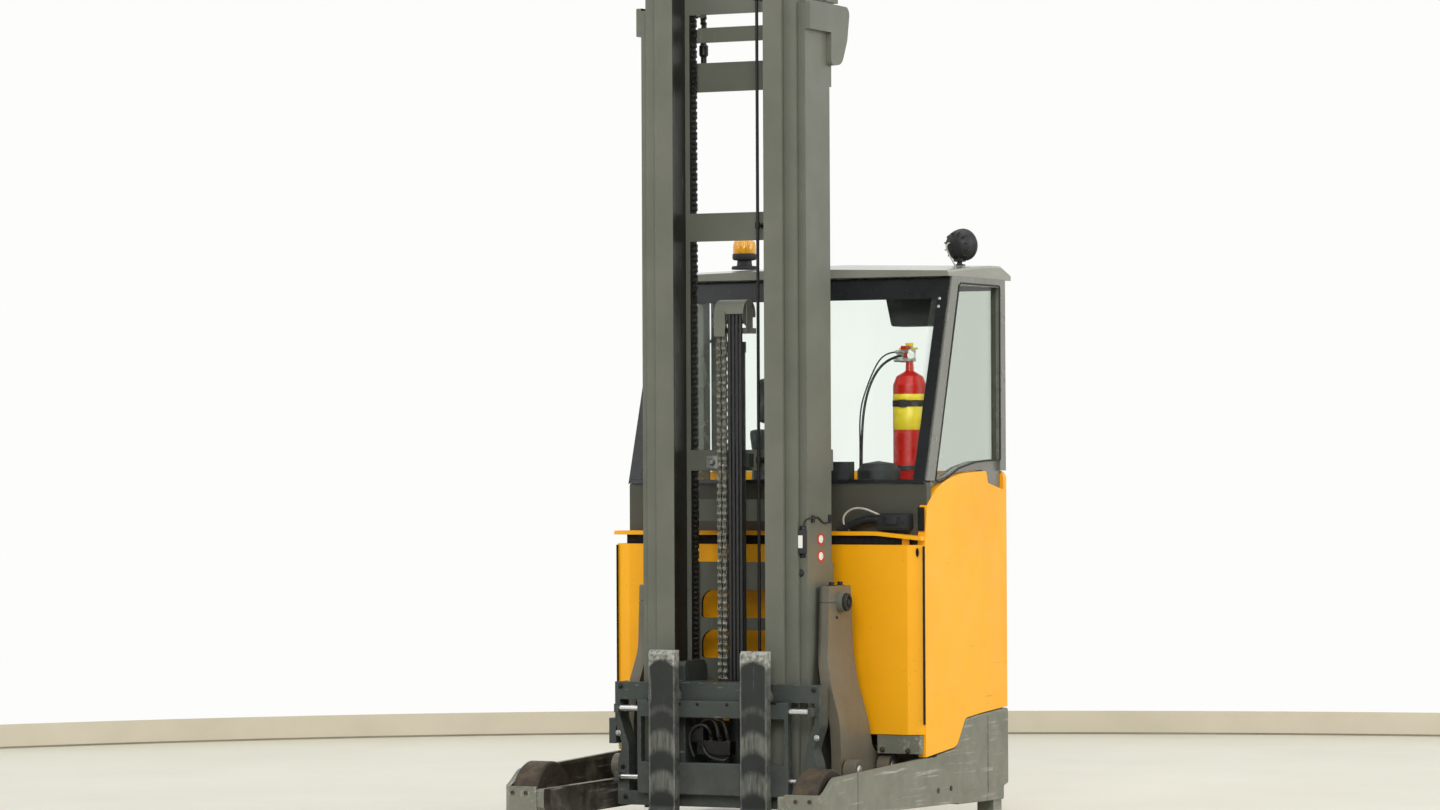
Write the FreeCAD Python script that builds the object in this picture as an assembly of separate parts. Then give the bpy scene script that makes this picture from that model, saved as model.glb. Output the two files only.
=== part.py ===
"""Reach truck: a three-stage mast on a reach carriage that rolls along two wheel arms,
in front of a battery compartment and a closed driver's cab.

Millimetres.  +Z is up, the forks point towards -Y, +X is the truck's closed side and the
cab door is on -X.  The origin is on the floor, at the middle of the overall length and width.
"""
import FreeCAD, Part
import math
import os

Vector = FreeCAD.Vector

# ---------------------------------------------------------------- driving dimensions
TRUCK_WIDTH = 1270.0            # over the wheel arms
HALF_WIDTH = TRUCK_WIDTH / 2
FORK_LENGTH = 1150.0
FORK_FACE_Y = -125.0            # front face of the fork shanks
ARM_TIP_Y = -520.0              # front end of the wheel arms
STAGE_DEPTH = 212.0             # of each mast stage's stiles, along Y
BATTERY_FRONT_Y = STAGE_DEPTH + 171.0       # front face of the battery cover, behind the mast
CAB_FRONT_Y = BATTERY_FRONT_Y + 50.0        # front face of the cab's lower wall
REAR_Y = CAB_FRONT_Y + 772.0                # rear face of the chassis
ROOF_REAR_Y = REAR_Y + 70.0                 # the roof hangs a little over the rear
WHEELBASE = 1355.0
MAST_TOP_Z = 3150.0             # lowered height of the mast
MAST_FOOT_Z = 95.0
DECK_Z = 372.0                  # battery and cab stand on this deck
LID_Z = DECK_Z + 691.0          # top of the battery cover

CLEAR = 5.0                     # between pieces that move past each other
SEAT = 0.3                      # between curved or soft faces that rest together
FIT = 0.05                      # radial clearance of a rod, pin or axle in its bore
PLAY = 1.0                      # of a roller in its track

# travels of the joints
REACH_TRAVEL = 550.0
STAGE_TRAVEL = 2300.0           # of each mast stage in the next one
CARRIAGE_TRAVEL = 2300.0        # of the fork carriage in the inner stage
SIDE_SHIFT = 50.0               # each way


# ---------------------------------------------------------------- shape helpers
def box(x0, y0, z0, x1, y1, z1):
    """A block between two corners."""
    return Part.makeBox(x1 - x0, y1 - y0, z1 - z0, Vector(x0, y0, z0))


def rod(start, end, radius):
    """A round bar from one point to another."""
    start, end = Vector(*start), Vector(*end)
    return Part.makeCylinder(radius, (end - start).Length, start, end - start)


def tube(start, end, radius, bore):
    """A round tube from one point to another."""
    return rod(start, end, radius).cut(rod(start, end, bore))


def fuse(*shapes):
    """Shapes joined into one solid."""
    return shapes[0].fuse(list(shapes[1:])).removeSplitter()


def mirrored(shape):
    """The same shape on the truck's other side."""
    return shape.mirror(Vector(0, 0, 0), Vector(1, 0, 0))


def both_sides(shape):
    """A shape and its mirror image."""
    return [shape, mirrored(shape)]


def outline(corners, lift):
    """A closed wire through corners (a, b) or (a, b, radius); lift places (a, b) in space."""
    flat = [Vector(c[0], c[1], 0) for c in corners]
    radii = [c[2] if len(c) > 2 else 0 for c in corners]
    edges = []
    last = None
    first = None
    for i, corner in enumerate(flat):
        before = (flat[i - 1] - corner).normalize()
        after = (flat[(i + 1) % len(flat)] - corner).normalize()
        if radii[i]:
            half = before.getAngle(after) / 2
            reach = radii[i] / math.tan(half)
            start = corner + before * reach
            end = corner + after * reach
            middle = corner + (before + after).normalize() * (radii[i] / math.sin(half) - radii[i])
        else:
            start = end = corner
        if last is not None and (start - last).Length > 1e-6:
            edges.append(Part.LineSegment(lift(last), lift(start)).toShape())
        if radii[i]:
            edges.append(Part.Arc(lift(start), lift(middle), lift(end)).toShape())
        first = start if first is None else first
        last = end
    if (first - last).Length > 1e-6:
        edges.append(Part.LineSegment(lift(last), lift(first)).toShape())
    return Part.Wire(edges)


def plate_x(corners, x0, x1):
    """A plate with an outline of (y, z) corners, from x0 to x1."""
    wire = outline(corners, lambda p: Vector(x0, p.x, p.y))
    return Part.Face(wire).extrude(Vector(x1 - x0, 0, 0))


def plate_y(corners, y0, y1):
    """A plate with an outline of (x, z) corners, from y0 to y1."""
    wire = outline(corners, lambda p: Vector(p.x, y0, p.y))
    return Part.Face(wire).extrude(Vector(0, y1 - y0, 0))


def plate_z(corners, z0, z1):
    """A plate with an outline of (x, y) corners, from z0 to z1."""
    wire = outline(corners, lambda p: Vector(p.x, p.y, z0))
    return Part.Face(wire).extrude(Vector(0, 0, z1 - z0))


def turned_x(profile, x, y, z):
    """A solid turned about an axis along X through (x, y, z); profile is (along, radius)."""
    wire = Part.makePolygon([Vector(x + a, y, z + r) for a, r in profile + profile[:1]])
    return Part.Face(wire).revolve(Vector(x, y, z), Vector(1, 0, 0), 360)


def turned_z(profile, x, y, z):
    """A solid turned about an upright axis through (x, y); profile is (radius, height)."""
    wire = Part.makePolygon([Vector(x + r, y, z + h) for r, h in profile + profile[:1]])
    return Part.Face(wire).revolve(Vector(x, y, z), Vector(0, 0, 1), 360)


def cord(points, radius):
    """A round cord through points: straight runs joined by tangent arcs."""
    points = [Vector(*p) for p in points]
    edges = []
    last = points[0]
    for before, corner, after in zip(points, points[1:], points[2:]):
        to_before, to_after = before - corner, after - corner
        reach = 0.45 * min(to_before.Length, to_after.Length)
        half = to_before.getAngle(to_after) / 2
        bend = reach * math.tan(half)
        to_before.normalize()
        to_after.normalize()
        start = corner + to_before * reach
        end = corner + to_after * reach
        middle = corner + (to_before + to_after).normalize() * (bend / math.sin(half) - bend)
        edges.append(Part.LineSegment(last, start).toShape())
        edges.append(Part.Arc(start, middle, end).toShape())
        print(f"bend radius {bend:.0f} mm")
        last = end
    edges.append(Part.LineSegment(last, points[-1]).toShape())
    path = Part.Wire(edges)
    ring = Part.Wire(Part.Circle(points[0], points[1] - points[0], radius).toShape())
    return path.makePipeShell([ring], True, False)


def save(node, *shapes):
    """Write one node's solids to its file."""
    solids = [solid for shape in shapes for solid in shape.Solids]
    for solid in solids:
        if not solid.isValid():
            print("not valid:", node)
    Part.makeCompound(solids).exportStep("parts/" + node + ".step")
    size = Part.makeCompound(solids).BoundBox
    print(f"{node}: {len(solids)} solids, x {size.XMin:.0f} {size.XMax:.0f}, "
          f"y {size.YMin:.0f} {size.YMax:.0f}, z {size.ZMin:.0f} {size.ZMax:.0f}")


# ---------------------------------------------------------------- wheel arms
ARM_WIDTH = 170.0
ARM_IN_X = HALF_WIDTH - ARM_WIDTH           # inner face of an arm
RAIL_X = ARM_IN_X + 30.0                    # outer face of the inner rail
RAIL_TOP_Z = 195.0                          # the reach rollers run on it
OUTER_PLATE = 20.0
ARM_FLOOR_Z = 90.0
ARM_REAR_Y = 713.0
LOAD_WHEEL_R = 142.5
LOAD_WHEEL_WIDTH = 100.0
LOAD_WHEEL_X = (RAIL_X + 8 + HALF_WIDTH - OUTER_PLATE - 8) / 2
LOAD_AXLE_Y = ARM_TIP_Y + LOAD_WHEEL_R + 15.5
LOAD_AXLE_R = 20.0
LOAD_HUB_R = 62.0
BUMPER_TOP_Z = 203.0
ARM_TOP_Z = 275.0                           # of the outer plate beside the battery


def wheel_arm():
    """The right arm: an inner rail and a taller outer plate, open above, with the wheel's pocket."""
    outer = plate_x([(ARM_TIP_Y, 35, 8), (ARM_TIP_Y, BUMPER_TOP_Z - 12, 12), (ARM_TIP_Y + 55, 213, 60),
                     (ARM_TIP_Y + 125, 258, 70), (ARM_TIP_Y + 360, 262), (BATTERY_FRONT_Y, ARM_TOP_Z),
                     (ARM_REAR_Y, ARM_TOP_Z), (ARM_REAR_Y, ARM_FLOOR_Z), (ARM_TIP_Y + 420, 112, 200),
                     (ARM_TIP_Y + 250, 105, 30), (ARM_TIP_Y + 215, 60, 40), (ARM_TIP_Y + 190, 35, 10)],
                    HALF_WIDTH - OUTER_PLATE, HALF_WIDTH)
    rail = plate_x([(ARM_TIP_Y + 4, 130, 6), (ARM_TIP_Y + 4, RAIL_TOP_Z, 6), (ARM_REAR_Y, RAIL_TOP_Z),
                    (ARM_REAR_Y, ARM_FLOOR_Z), (ARM_TIP_Y + 420, ARM_FLOOR_Z, 200),
                    (ARM_TIP_Y + 230, 75, 40), (ARM_TIP_Y + 60, 75, 40)], ARM_IN_X, RAIL_X)
    pocket_y = LOAD_AXLE_Y + LOAD_WHEEL_R + 17.5
    floor = box(ARM_IN_X, pocket_y + 12, 112, HALF_WIDTH, ARM_REAR_Y, 128)
    pocket_wall = box(ARM_IN_X, pocket_y, 112, HALF_WIDTH, pocket_y + 12, 190)
    bumper = plate_z([(RAIL_X - 2, ARM_TIP_Y), (HALF_WIDTH - 30, ARM_TIP_Y),
                      (HALF_WIDTH, ARM_TIP_Y + 30, 28), (HALF_WIDTH, ARM_TIP_Y + 40),
                      (HALF_WIDTH - 20, ARM_TIP_Y + 40), (HALF_WIDTH - 26, ARM_TIP_Y + 12),
                      (RAIL_X - 2, ARM_TIP_Y + 12)], 40, BUMPER_TOP_Z)
    corner_cut = box(HALF_WIDTH - 60, ARM_TIP_Y - 1, 0, HALF_WIDTH + 1, ARM_TIP_Y + 60, 400)
    corner_keep = plate_z([(HALF_WIDTH - 61, ARM_TIP_Y), (HALF_WIDTH - 30, ARM_TIP_Y),
                           (HALF_WIDTH, ARM_TIP_Y + 30, 28), (HALF_WIDTH, ARM_TIP_Y + 61),
                           (HALF_WIDTH - 61, ARM_TIP_Y + 61)], 0, 401)
    axle = rod((ARM_IN_X, LOAD_AXLE_Y, LOAD_WHEEL_R), (HALF_WIDTH - 1, LOAD_AXLE_Y, LOAD_WHEEL_R), LOAD_AXLE_R)
    arm = fuse(outer, rail, floor, pocket_wall, bumper, axle)
    return arm.cut(corner_cut.cut(corner_keep))


def load_wheel():
    """A load wheel: a tyre on a hub that runs on its axle."""
    half = LOAD_WHEEL_WIDTH / 2
    profile = [(-half, LOAD_AXLE_R + FIT), (-half, LOAD_HUB_R - 12), (-half + 10, LOAD_HUB_R),
               (-half, LOAD_HUB_R + 38), (-half, LOAD_WHEEL_R - 6), (-half + 8, LOAD_WHEEL_R),
               (half - 8, LOAD_WHEEL_R), (half, LOAD_WHEEL_R - 6), (half, LOAD_HUB_R + 38),
               (half - 10, LOAD_HUB_R), (half, LOAD_HUB_R - 12), (half, LOAD_AXLE_R + FIT)]
    return turned_x(profile, LOAD_WHEEL_X, LOAD_AXLE_Y, LOAD_WHEEL_R)


# ---------------------------------------------------------------- chassis and drive
SKIRT_FLOOR_Z = 75.0
DECK = 12.0
DRIVE_Y = LOAD_AXLE_Y + WHEELBASE
DRIVE_WHEEL_R = 171.5
DRIVE_WHEEL_WIDTH = 114.0
DRIVE_STUB_R = 30.0
TURNTABLE_R = 150.0
TABLE_Z = DECK_Z - 20.0                     # underside of the turntable
SIDE_WALL = 35.0
PANEL_END_Y = REAR_Y - 30.0                 # rear edge of the side panels
SEAM = 4.0                                  # between the skirt and the panels above it
FOOT_Z = DECK_Z - 92.5                      # front end of the panels' lower edge
FOOT_END_Z = DECK_Z + 54.0                  # rear end of that edge


def lower_edge(drop):
    """The S-shaped lower edge of the side panels, as (y, z) corners, moved down by drop."""
    return [(CAB_FRONT_Y + 267, DECK_Z - 70 - drop, 60), (CAB_FRONT_Y + 352, DECK_Z + 32 - drop, 40),
            (CAB_FRONT_Y + 507, DECK_Z + 43 - drop, 400)]


def chassis_frame():
    """The welded rear frame: side walls, rear wall, deck and feet round the drive wheel's well."""
    side = plate_x([(ARM_REAR_Y - 200, SKIRT_FLOOR_Z + 15), (ARM_REAR_Y - 200, DECK_Z - 91), *lower_edge(SEAM),
                    (REAR_Y, FOOT_END_Z - SEAM, 15), (REAR_Y, SKIRT_FLOOR_Z + 60), (REAR_Y - 45, SKIRT_FLOOR_Z + 50, 10),
                    (REAR_Y - 45, SKIRT_FLOOR_Z, 10)], HALF_WIDTH - SIDE_WALL, HALF_WIDTH)
    side_clear = box(ARM_IN_X - 1, ARM_REAR_Y - 400, 0, HALF_WIDTH + 1, ARM_REAR_Y + 0.01, ARM_TOP_Z)
    side = side.cut(side_clear)
    seam_y = REAR_Y - 212
    side = side.cut(box(HALF_WIDTH - 3, seam_y, 0, HALF_WIDTH + 1, seam_y + 3, 600))
    rear = box(-HALF_WIDTH + SIDE_WALL, REAR_Y - 22, SKIRT_FLOOR_Z, HALF_WIDTH - SIDE_WALL, REAR_Y, DECK_Z)
    deck = box(-HALF_WIDTH + SIDE_WALL, BATTERY_FRONT_Y + 30, DECK_Z, HALF_WIDTH - SIDE_WALL, REAR_Y, DECK_Z + DECK)
    hole = rod((0, DRIVE_Y, 0), (0, DRIVE_Y, 500), TURNTABLE_R + 0.5)
    collar = rod((0, DRIVE_Y, TABLE_Z), (0, DRIVE_Y, DECK_Z), TURNTABLE_R + 30)
    foot = box(HALF_WIDTH - 75, REAR_Y - 130, 32, HALF_WIDTH - 8, REAR_Y - 50, 120)
    cross = box(-HALF_WIDTH + SIDE_WALL, ARM_REAR_Y, 140, HALF_WIDTH - SIDE_WALL, ARM_REAR_Y + 14, DECK_Z)
    arm_joint = box(ARM_IN_X, ARM_REAR_Y, ARM_FLOOR_Z + 10, HALF_WIDTH - SIDE_WALL, ARM_REAR_Y + 14, ARM_TOP_Z)
    tray = plate_z([(REACH_FOOT_X + 10, BATTERY_FRONT_Y + 2), (HALF_WIDTH - 8, BATTERY_FRONT_Y + 2, 10),
                    (HALF_WIDTH - 8, BATTERY_FRONT_Y + 17), (HALF_WIDTH - SIDE_WALL, BATTERY_FRONT_Y + 17),
                    (HALF_WIDTH - SIDE_WALL, BATTERY_FRONT_Y + 30), (REACH_FOOT_X + 10, BATTERY_FRONT_Y + 30)],
                   ARM_TOP_Z + 17, DECK_Z - 12)
    hanger = box(REACH_FOOT_X + 30, BATTERY_FRONT_Y + 22, ARM_TOP_Z + 40, HALF_WIDTH - SIDE_WALL - 10,
                 BATTERY_FRONT_Y + 60, DECK_Z + 1)
    frame = fuse(*both_sides(side), rear, deck, collar, *both_sides(foot), cross, *both_sides(arm_joint),
                 *both_sides(fuse(tray, hanger)))
    passage = box(-REACH_FOOT_X - 20, ARM_REAR_Y - 1, 130, REACH_FOOT_X + 20, ARM_REAR_Y + 15, 300)
    return frame.cut(hole).cut(passage)


def drive_unit():
    """The steered unit: turntable, gearbox beside the wheel and the upright motor above it."""
    top_z = DECK_Z + DECK - 1
    gear_x = DRIVE_WHEEL_WIDTH / 2 + 13
    table = rod((0, DRIVE_Y, TABLE_Z), (0, DRIVE_Y, top_z), TURNTABLE_R)
    neck = box(gear_x + 8, DRIVE_Y - 62, DRIVE_WHEEL_R - 40, gear_x + 58, DRIVE_Y + 62, TABLE_Z)
    hub = rod((gear_x, DRIVE_Y, DRIVE_WHEEL_R), (gear_x + 58, DRIVE_Y, DRIVE_WHEEL_R), 78)
    stub = rod((-20, DRIVE_Y, DRIVE_WHEEL_R), (gear_x + 2, DRIVE_Y, DRIVE_WHEEL_R), DRIVE_STUB_R)
    motor = rod((0, DRIVE_Y, top_z), (0, DRIVE_Y, DECK_Z + 330), 105)
    return fuse(table, neck, hub, stub, motor)


def drive_wheel():
    """The drive wheel, pressed on the gearbox's hub."""
    half = DRIVE_WHEEL_WIDTH / 2
    profile = [(-half + 20, DRIVE_STUB_R + FIT), (-half + 20, 100), (-half, 120), (-half, DRIVE_WHEEL_R - 6),
               (-half + 8, DRIVE_WHEEL_R), (half - 8, DRIVE_WHEEL_R), (half, DRIVE_WHEEL_R - 6),
               (half, 120), (half - 20, 100), (half - 20, DRIVE_STUB_R + FIT)]
    return turned_x(profile, 0, DRIVE_Y, DRIVE_WHEEL_R)


# ---------------------------------------------------------------- mast dimensions the carriage fits to
FLANGE = 17.0
STAGE_STEP = FLANGE + CLEAR                 # each stage stands this much ahead of the next
INNER_Y = -16.0
MIDDLE_Y = INNER_Y + STAGE_STEP
OUTER_Y = MIDDLE_Y + STAGE_STEP
OUTER_FACE_X = 334.0
TIE = 17.0                                  # thickness of the tie plates between the stiles
MAST_REAR_Y = OUTER_Y + STAGE_DEPTH + TIE
LIFT_R = 30.0
LIFT_ROD_R = 19.0
LIFT_Y = MAST_REAR_Y + LIFT_R + 3

# ---------------------------------------------------------------- reach carriage
PLATE = 40.0                                # thickness of a reach side plate
REACH_TOP_X = OUTER_FACE_X + 13.0           # inner face of a side plate beside the mast
REACH_FOOT_X = ARM_IN_X - 25.0              # outer face of a side plate beside the arm
PIVOT_Y = 200.0                             # the mast tilts about this axis
PIVOT_Z = 855.0
PIVOT_R = 37.5
REACH_ROLLER_R = 45.0
REACH_ROLLER_Z = RAIL_TOP_Z + REACH_ROLLER_R + PLAY
REACH_AXLE_R = 18.0
REACH_ROLLERS_Y = (120.0, 425.0)
REACH_FOOT_REAR_Y = 535.0
REACH_BEAM_Y = LIFT_Y + LIFT_R + 25         # the beam behind the mast's foot
TILT_PIN_Z = 235.0
TILT_EYE_Y = MAST_REAR_Y + 25.0
TILT_REAR_Y = REACH_FOOT_REAR_Y - 18.0
TILT_X = 120.0
TILT_DRIFT = 1.0                            # the rods' eyes drift this much round their pins
TILT_R = 36.0                               # outer radius of a tilt cylinder
TILT_ROD_R = 16.0
TILT_PIN_R = 12.0
REACH_CYLINDER_X = -250.0
REACH_CYLINDER_Z = 215.0


def reach_side():
    """One side plate: an S-curved plate from the mast's pivot outwards to its foot beside the arm."""
    rear = REACH_FOOT_REAR_Y
    profile = [(99, PIVOT_Z + 60, 8), (88, 700, 400), (58, 545, 200), (84, 300, 100), (84, 140, 40),
               (rear, 150, 20), (rear, 290, 20), (372, 300, 60), (322, 430, 200), (300, 560, 150),
               (314, 660, 150), (291, PIVOT_Z + 60, 8)]
    band = [(REACH_TOP_X + PLATE, PIVOT_Z + 70), (REACH_TOP_X + PLATE, 668, 260), (REACH_FOOT_X, 425, 260),
            (REACH_FOOT_X, 118), (REACH_FOOT_X - PLATE, 118), (REACH_FOOT_X - PLATE, 417, 260),
            (REACH_TOP_X, 660, 260), (REACH_TOP_X, PIVOT_Z + 70)]
    side = plate_x(profile, REACH_TOP_X - 1, REACH_FOOT_X + 1).common(plate_y(band, 0, rear + 1))
    bore = rod((0, PIVOT_Y, PIVOT_Z), (1000, PIVOT_Y, PIVOT_Z), PIVOT_R + FIT)
    cap_joint = box(REACH_TOP_X - 1, 80, PIVOT_Z - 1, REACH_TOP_X + PLATE + 1, 310, PIVOT_Z + 1)
    core = box(REACH_TOP_X + 3, 100, PIVOT_Z - 2, REACH_TOP_X + PLATE - 3, 290, PIVOT_Z + 2)
    return side.cut(bore).cut(cap_joint.cut(core))


def reach_carriage():
    """Two side plates joined behind the mast's foot, with the rollers' stub axles."""
    rear = REACH_FOOT_REAR_Y
    beam = box(-REACH_FOOT_X + PLATE, REACH_BEAM_Y, 140, REACH_FOOT_X - PLATE, REACH_BEAM_Y + 30, 400)
    window = box(-TILT_X - 60, REACH_BEAM_Y - 1, 180, TILT_X + 60, REACH_BEAM_Y + 31, 290)
    tail = box(-REACH_FOOT_X + PLATE, rear - 32, 195, REACH_FOOT_X - PLATE, rear - 4, 275)
    tail = tail.cut(box(REACH_CYLINDER_X - 50, rear - 80, 100, REACH_CYLINDER_X + 50, rear + 20, 300))
    lugs = []
    for x in (-TILT_X, TILT_X):
        for side in (-1, 1):
            lugs.append(box(x + side * 26 - 7, rear - 40, TILT_PIN_Z - 25, x + side * 26 + 7, rear, TILT_PIN_Z + 25))
        lugs.append(rod((x - 30, TILT_REAR_Y, TILT_PIN_Z), (x + 30, TILT_REAR_Y, TILT_PIN_Z), TILT_PIN_R - 1))
    stubs = []
    for y in REACH_ROLLERS_Y:
        stub = rod((REACH_FOOT_X - 10, y, REACH_ROLLER_Z), (REACH_FOOT_X + 57, y, REACH_ROLLER_Z), REACH_AXLE_R)
        stubs += both_sides(stub)
    body = fuse(*both_sides(reach_side()), beam.cut(window), tail, *lugs, *stubs)
    for x in (-TILT_X, TILT_X):
        pocket = box(x - 19, rear - 80, TILT_PIN_Z - 41, x + 19, rear - 3, TILT_PIN_Z + 41)
        pin = rod((x - 30, TILT_REAR_Y, TILT_PIN_Z), (x + 30, TILT_REAR_Y, TILT_PIN_Z), TILT_PIN_R - 1)
        body = body.cut(pocket.cut(pin))
    return body


def reach_rollers():
    """The rollers that carry the reach carriage along the arms' rails."""
    shapes = []
    for y in REACH_ROLLERS_Y:
        roller = turned_x([(0, REACH_AXLE_R + FIT), (0, REACH_ROLLER_R), (48, REACH_ROLLER_R), (48, REACH_AXLE_R + FIT)],
                          REACH_FOOT_X + 8, y, REACH_ROLLER_Z)
        shapes += both_sides(roller)
    return shapes


def reach_cylinder():
    """The barrel of the reach cylinder, under the battery."""
    y0, y1 = BATTERY_FRONT_Y + 100, BATTERY_FRONT_Y + 720
    barrel = tube((REACH_CYLINDER_X, y0, REACH_CYLINDER_Z), (REACH_CYLINDER_X, y1, REACH_CYLINDER_Z), 35, 20 + FIT)
    bracket = box(REACH_CYLINDER_X - 30, y1, REACH_CYLINDER_Z - 30, REACH_CYLINDER_X + 30, y1 + 20, DECK_Z)
    return fuse(barrel, bracket)


def reach_rod():
    """The rod of the reach cylinder, bolted to the reach carriage's beam."""
    y0, y1 = REACH_BEAM_Y + 30, BATTERY_FRONT_Y + 680
    return rod((REACH_CYLINDER_X, y0, REACH_CYLINDER_Z), (REACH_CYLINDER_X, y1, REACH_CYLINDER_Z), 20)


def tilt_cylinders():
    """The barrels of the two short tilt cylinders, pinned at the carriage's rear."""
    shapes = []
    for x in (-TILT_X, TILT_X):
        barrel = tube((x, TILT_EYE_Y + 50, TILT_PIN_Z), (x, TILT_REAR_Y - 26, TILT_PIN_Z), TILT_R, TILT_ROD_R + FIT)
        cap = rod((x, TILT_REAR_Y - 40, TILT_PIN_Z), (x, TILT_REAR_Y - 24, TILT_PIN_Z), TILT_R)
        eye = fuse(rod((x - 16, TILT_REAR_Y, TILT_PIN_Z), (x + 16, TILT_REAR_Y, TILT_PIN_Z), 20),
                   box(x - 16, TILT_REAR_Y - 30, TILT_PIN_Z - 16, x + 16, TILT_REAR_Y, TILT_PIN_Z + 16))
        hole = rod((x - 20, TILT_REAR_Y, TILT_PIN_Z), (x + 20, TILT_REAR_Y, TILT_PIN_Z), TILT_PIN_R - 1 + FIT)
        shapes.append(fuse(barrel, cap, eye).cut(hole))
    return shapes


def tilt_rods():
    """The rods of the tilt cylinders, with their eyes round the pins at the mast's foot."""
    shapes = []
    for x in (-TILT_X, TILT_X):
        bar = rod((x, TILT_EYE_Y, TILT_PIN_Z), (x, TILT_REAR_Y - 110, TILT_PIN_Z), TILT_ROD_R)
        eye = rod((x - 14, TILT_EYE_Y, TILT_PIN_Z), (x + 14, TILT_EYE_Y, TILT_PIN_Z), 20)
        hole = rod((x - 20, TILT_EYE_Y, TILT_PIN_Z), (x + 20, TILT_EYE_Y, TILT_PIN_Z), TILT_PIN_R + TILT_DRIFT)
        shapes.append(fuse(bar, eye).cut(hole))
    return shapes


# ---------------------------------------------------------------- mast
OUTER_TOP_Z = MAST_TOP_Z - 110.0
MIDDLE_TOP_Z = MAST_TOP_Z - 20.0
WEB = 12.0
OUTER_WEB = 14.0
INNER_GAP_X = 184.0                         # half the clear width between the inner stiles' front flanges
REAR_GAP_X = 210.0                          # and between their rear flanges
INNER_WEB_X = 228.0
INNER_EDGE_X = 258.0
MIDDLE_WEB_X = INNER_EDGE_X + CLEAR
MIDDLE_IN_X = INNER_WEB_X + WEB + CLEAR
MIDDLE_EDGE_X = 305.0
OUTER_IN_X = MIDDLE_WEB_X + WEB + CLEAR
LIFT_X = 269.0
CHAIN_X = 205.0
CHAIN_Y = INNER_Y + STAGE_DEPTH + STAGE_STEP / 2
SHEAVE_R = 42.0
SHEAVE_Z = MAST_TOP_Z - 82.0
ANCHOR_Y = CHAIN_Y + 2 * SHEAVE_R
ANCHOR_Z = MAST_TOP_Z - 225.0               # top of the anchors' studs
CHAIN_THICK = 10.0
CHAIN_WIDE = 20.0
SHROUD = 20.0                               # width of a shroud beyond the outer stile


def stile(y, in_x, web_x, web, edge_x, back_in_x, back_edge_x, z0, z1):
    """One upright of a stage: a web with a front and a rear flange."""
    front = box(in_x, y, z0, edge_x, y + FLANGE, z1)
    back = box(back_in_x, y + STAGE_DEPTH - FLANGE, z0, back_edge_x, y + STAGE_DEPTH, z1)
    middle = box(web_x, y, z0, web_x + web, y + STAGE_DEPTH, z1)
    return fuse(front, back, middle)


def mast_outer():
    """The fixed stage: two channels, the ties behind them, the tilt trunnions and the foot."""
    back = OUTER_Y + STAGE_DEPTH
    parts = both_sides(stile(OUTER_Y, OUTER_IN_X, OUTER_FACE_X - OUTER_WEB, OUTER_WEB, OUTER_FACE_X,
                             OUTER_IN_X, OUTER_FACE_X, MAST_FOOT_Z, OUTER_TOP_Z))
    for z0, z1 in ((2748, 2856), (1336, 1414), (560, 998), (MAST_FOOT_Z, 330)):
        parts.append(box(-OUTER_FACE_X, back, z0, OUTER_FACE_X, back + TIE, z1))
    parts += both_sides(box(LIFT_X - 32, back + TIE, MAST_FOOT_Z, LIFT_X + 32, LIFT_Y + 32, MAST_FOOT_Z + 30))
    ledge = box(CHAIN_X - 15, back + TIE, 2826, CHAIN_X + 15, ANCHOR_Y + 14, 2846)
    stud = rod((CHAIN_X, ANCHOR_Y, 2800), (CHAIN_X, ANCHOR_Y, ANCHOR_Z), 8)
    parts += both_sides(fuse(ledge, stud))
    trunnion = rod((OUTER_FACE_X - 1, PIVOT_Y, PIVOT_Z), (REACH_TOP_X + PLATE + 20, PIVOT_Y, PIVOT_Z), PIVOT_R)
    boss = rod((OUTER_FACE_X - 1, PIVOT_Y, PIVOT_Z), (REACH_TOP_X - CLEAR, PIVOT_Y, PIVOT_Z), PIVOT_R + 18)
    hollow = rod((OUTER_FACE_X, PIVOT_Y, PIVOT_Z), (REACH_TOP_X + 100, PIVOT_Y, PIVOT_Z), PIVOT_R - 12)
    parts += both_sides(fuse(trunnion, boss).cut(hollow))
    for x in (-TILT_X, TILT_X):
        for side in (-1, 1):
            parts.append(box(x + side * 24 - 6, back + TIE, TILT_PIN_Z - 24, x + side * 24 + 6,
                             TILT_EYE_Y + 16, TILT_PIN_Z + 24))
        parts.append(rod((x - 24, TILT_EYE_Y, TILT_PIN_Z), (x + 24, TILT_EYE_Y, TILT_PIN_Z), TILT_PIN_R))
    mast = fuse(*parts)
    for z0, z1 in ((790, 894), (640, 745)):
        hole = plate_y([(-200, z0, 10), (-200, z1, 50), (200, z1, 50), (200, z0, 10)], back - 1, back + TIE + 1)
        mast = mast.cut(hole)
    return mast


def mast_shrouds():
    """The guards over the outer stage's top end and the cylinders behind it."""
    x0, x1 = OUTER_FACE_X, OUTER_FACE_X + SHROUD
    back = OUTER_Y + STAGE_DEPTH
    top = OUTER_TOP_Z + 10
    cheek = plate_x([(OUTER_Y, top - 105), (OUTER_Y, top, 8), (back + 144, top, 30), (back + 118, top - 125, 60),
                     (back + 70, top - 216, 60), (back - 25, top - 228, 20), (back - 25, top - 105)], x0 + SEAT, x1)
    skirt = plate_x([(back + TIE + SEAT, top), (back + 144, top, 30), (back + 118, top - 125, 60),
                     (back + 70, top - 216, 60), (back + TIE + SEAT, top - 222)], LIFT_X + LIFT_R + CLEAR, x1)
    inside = plate_x([(back + TIE - 1, top - 8), (back + 134, top - 8, 24), (back + 109, top - 122, 56),
                      (back + 64, top - 208, 56), (back + TIE - 1, top - 214)], LIFT_X, x1 - 8)
    return both_sides(fuse(cheek, skirt.cut(inside)))


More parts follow.
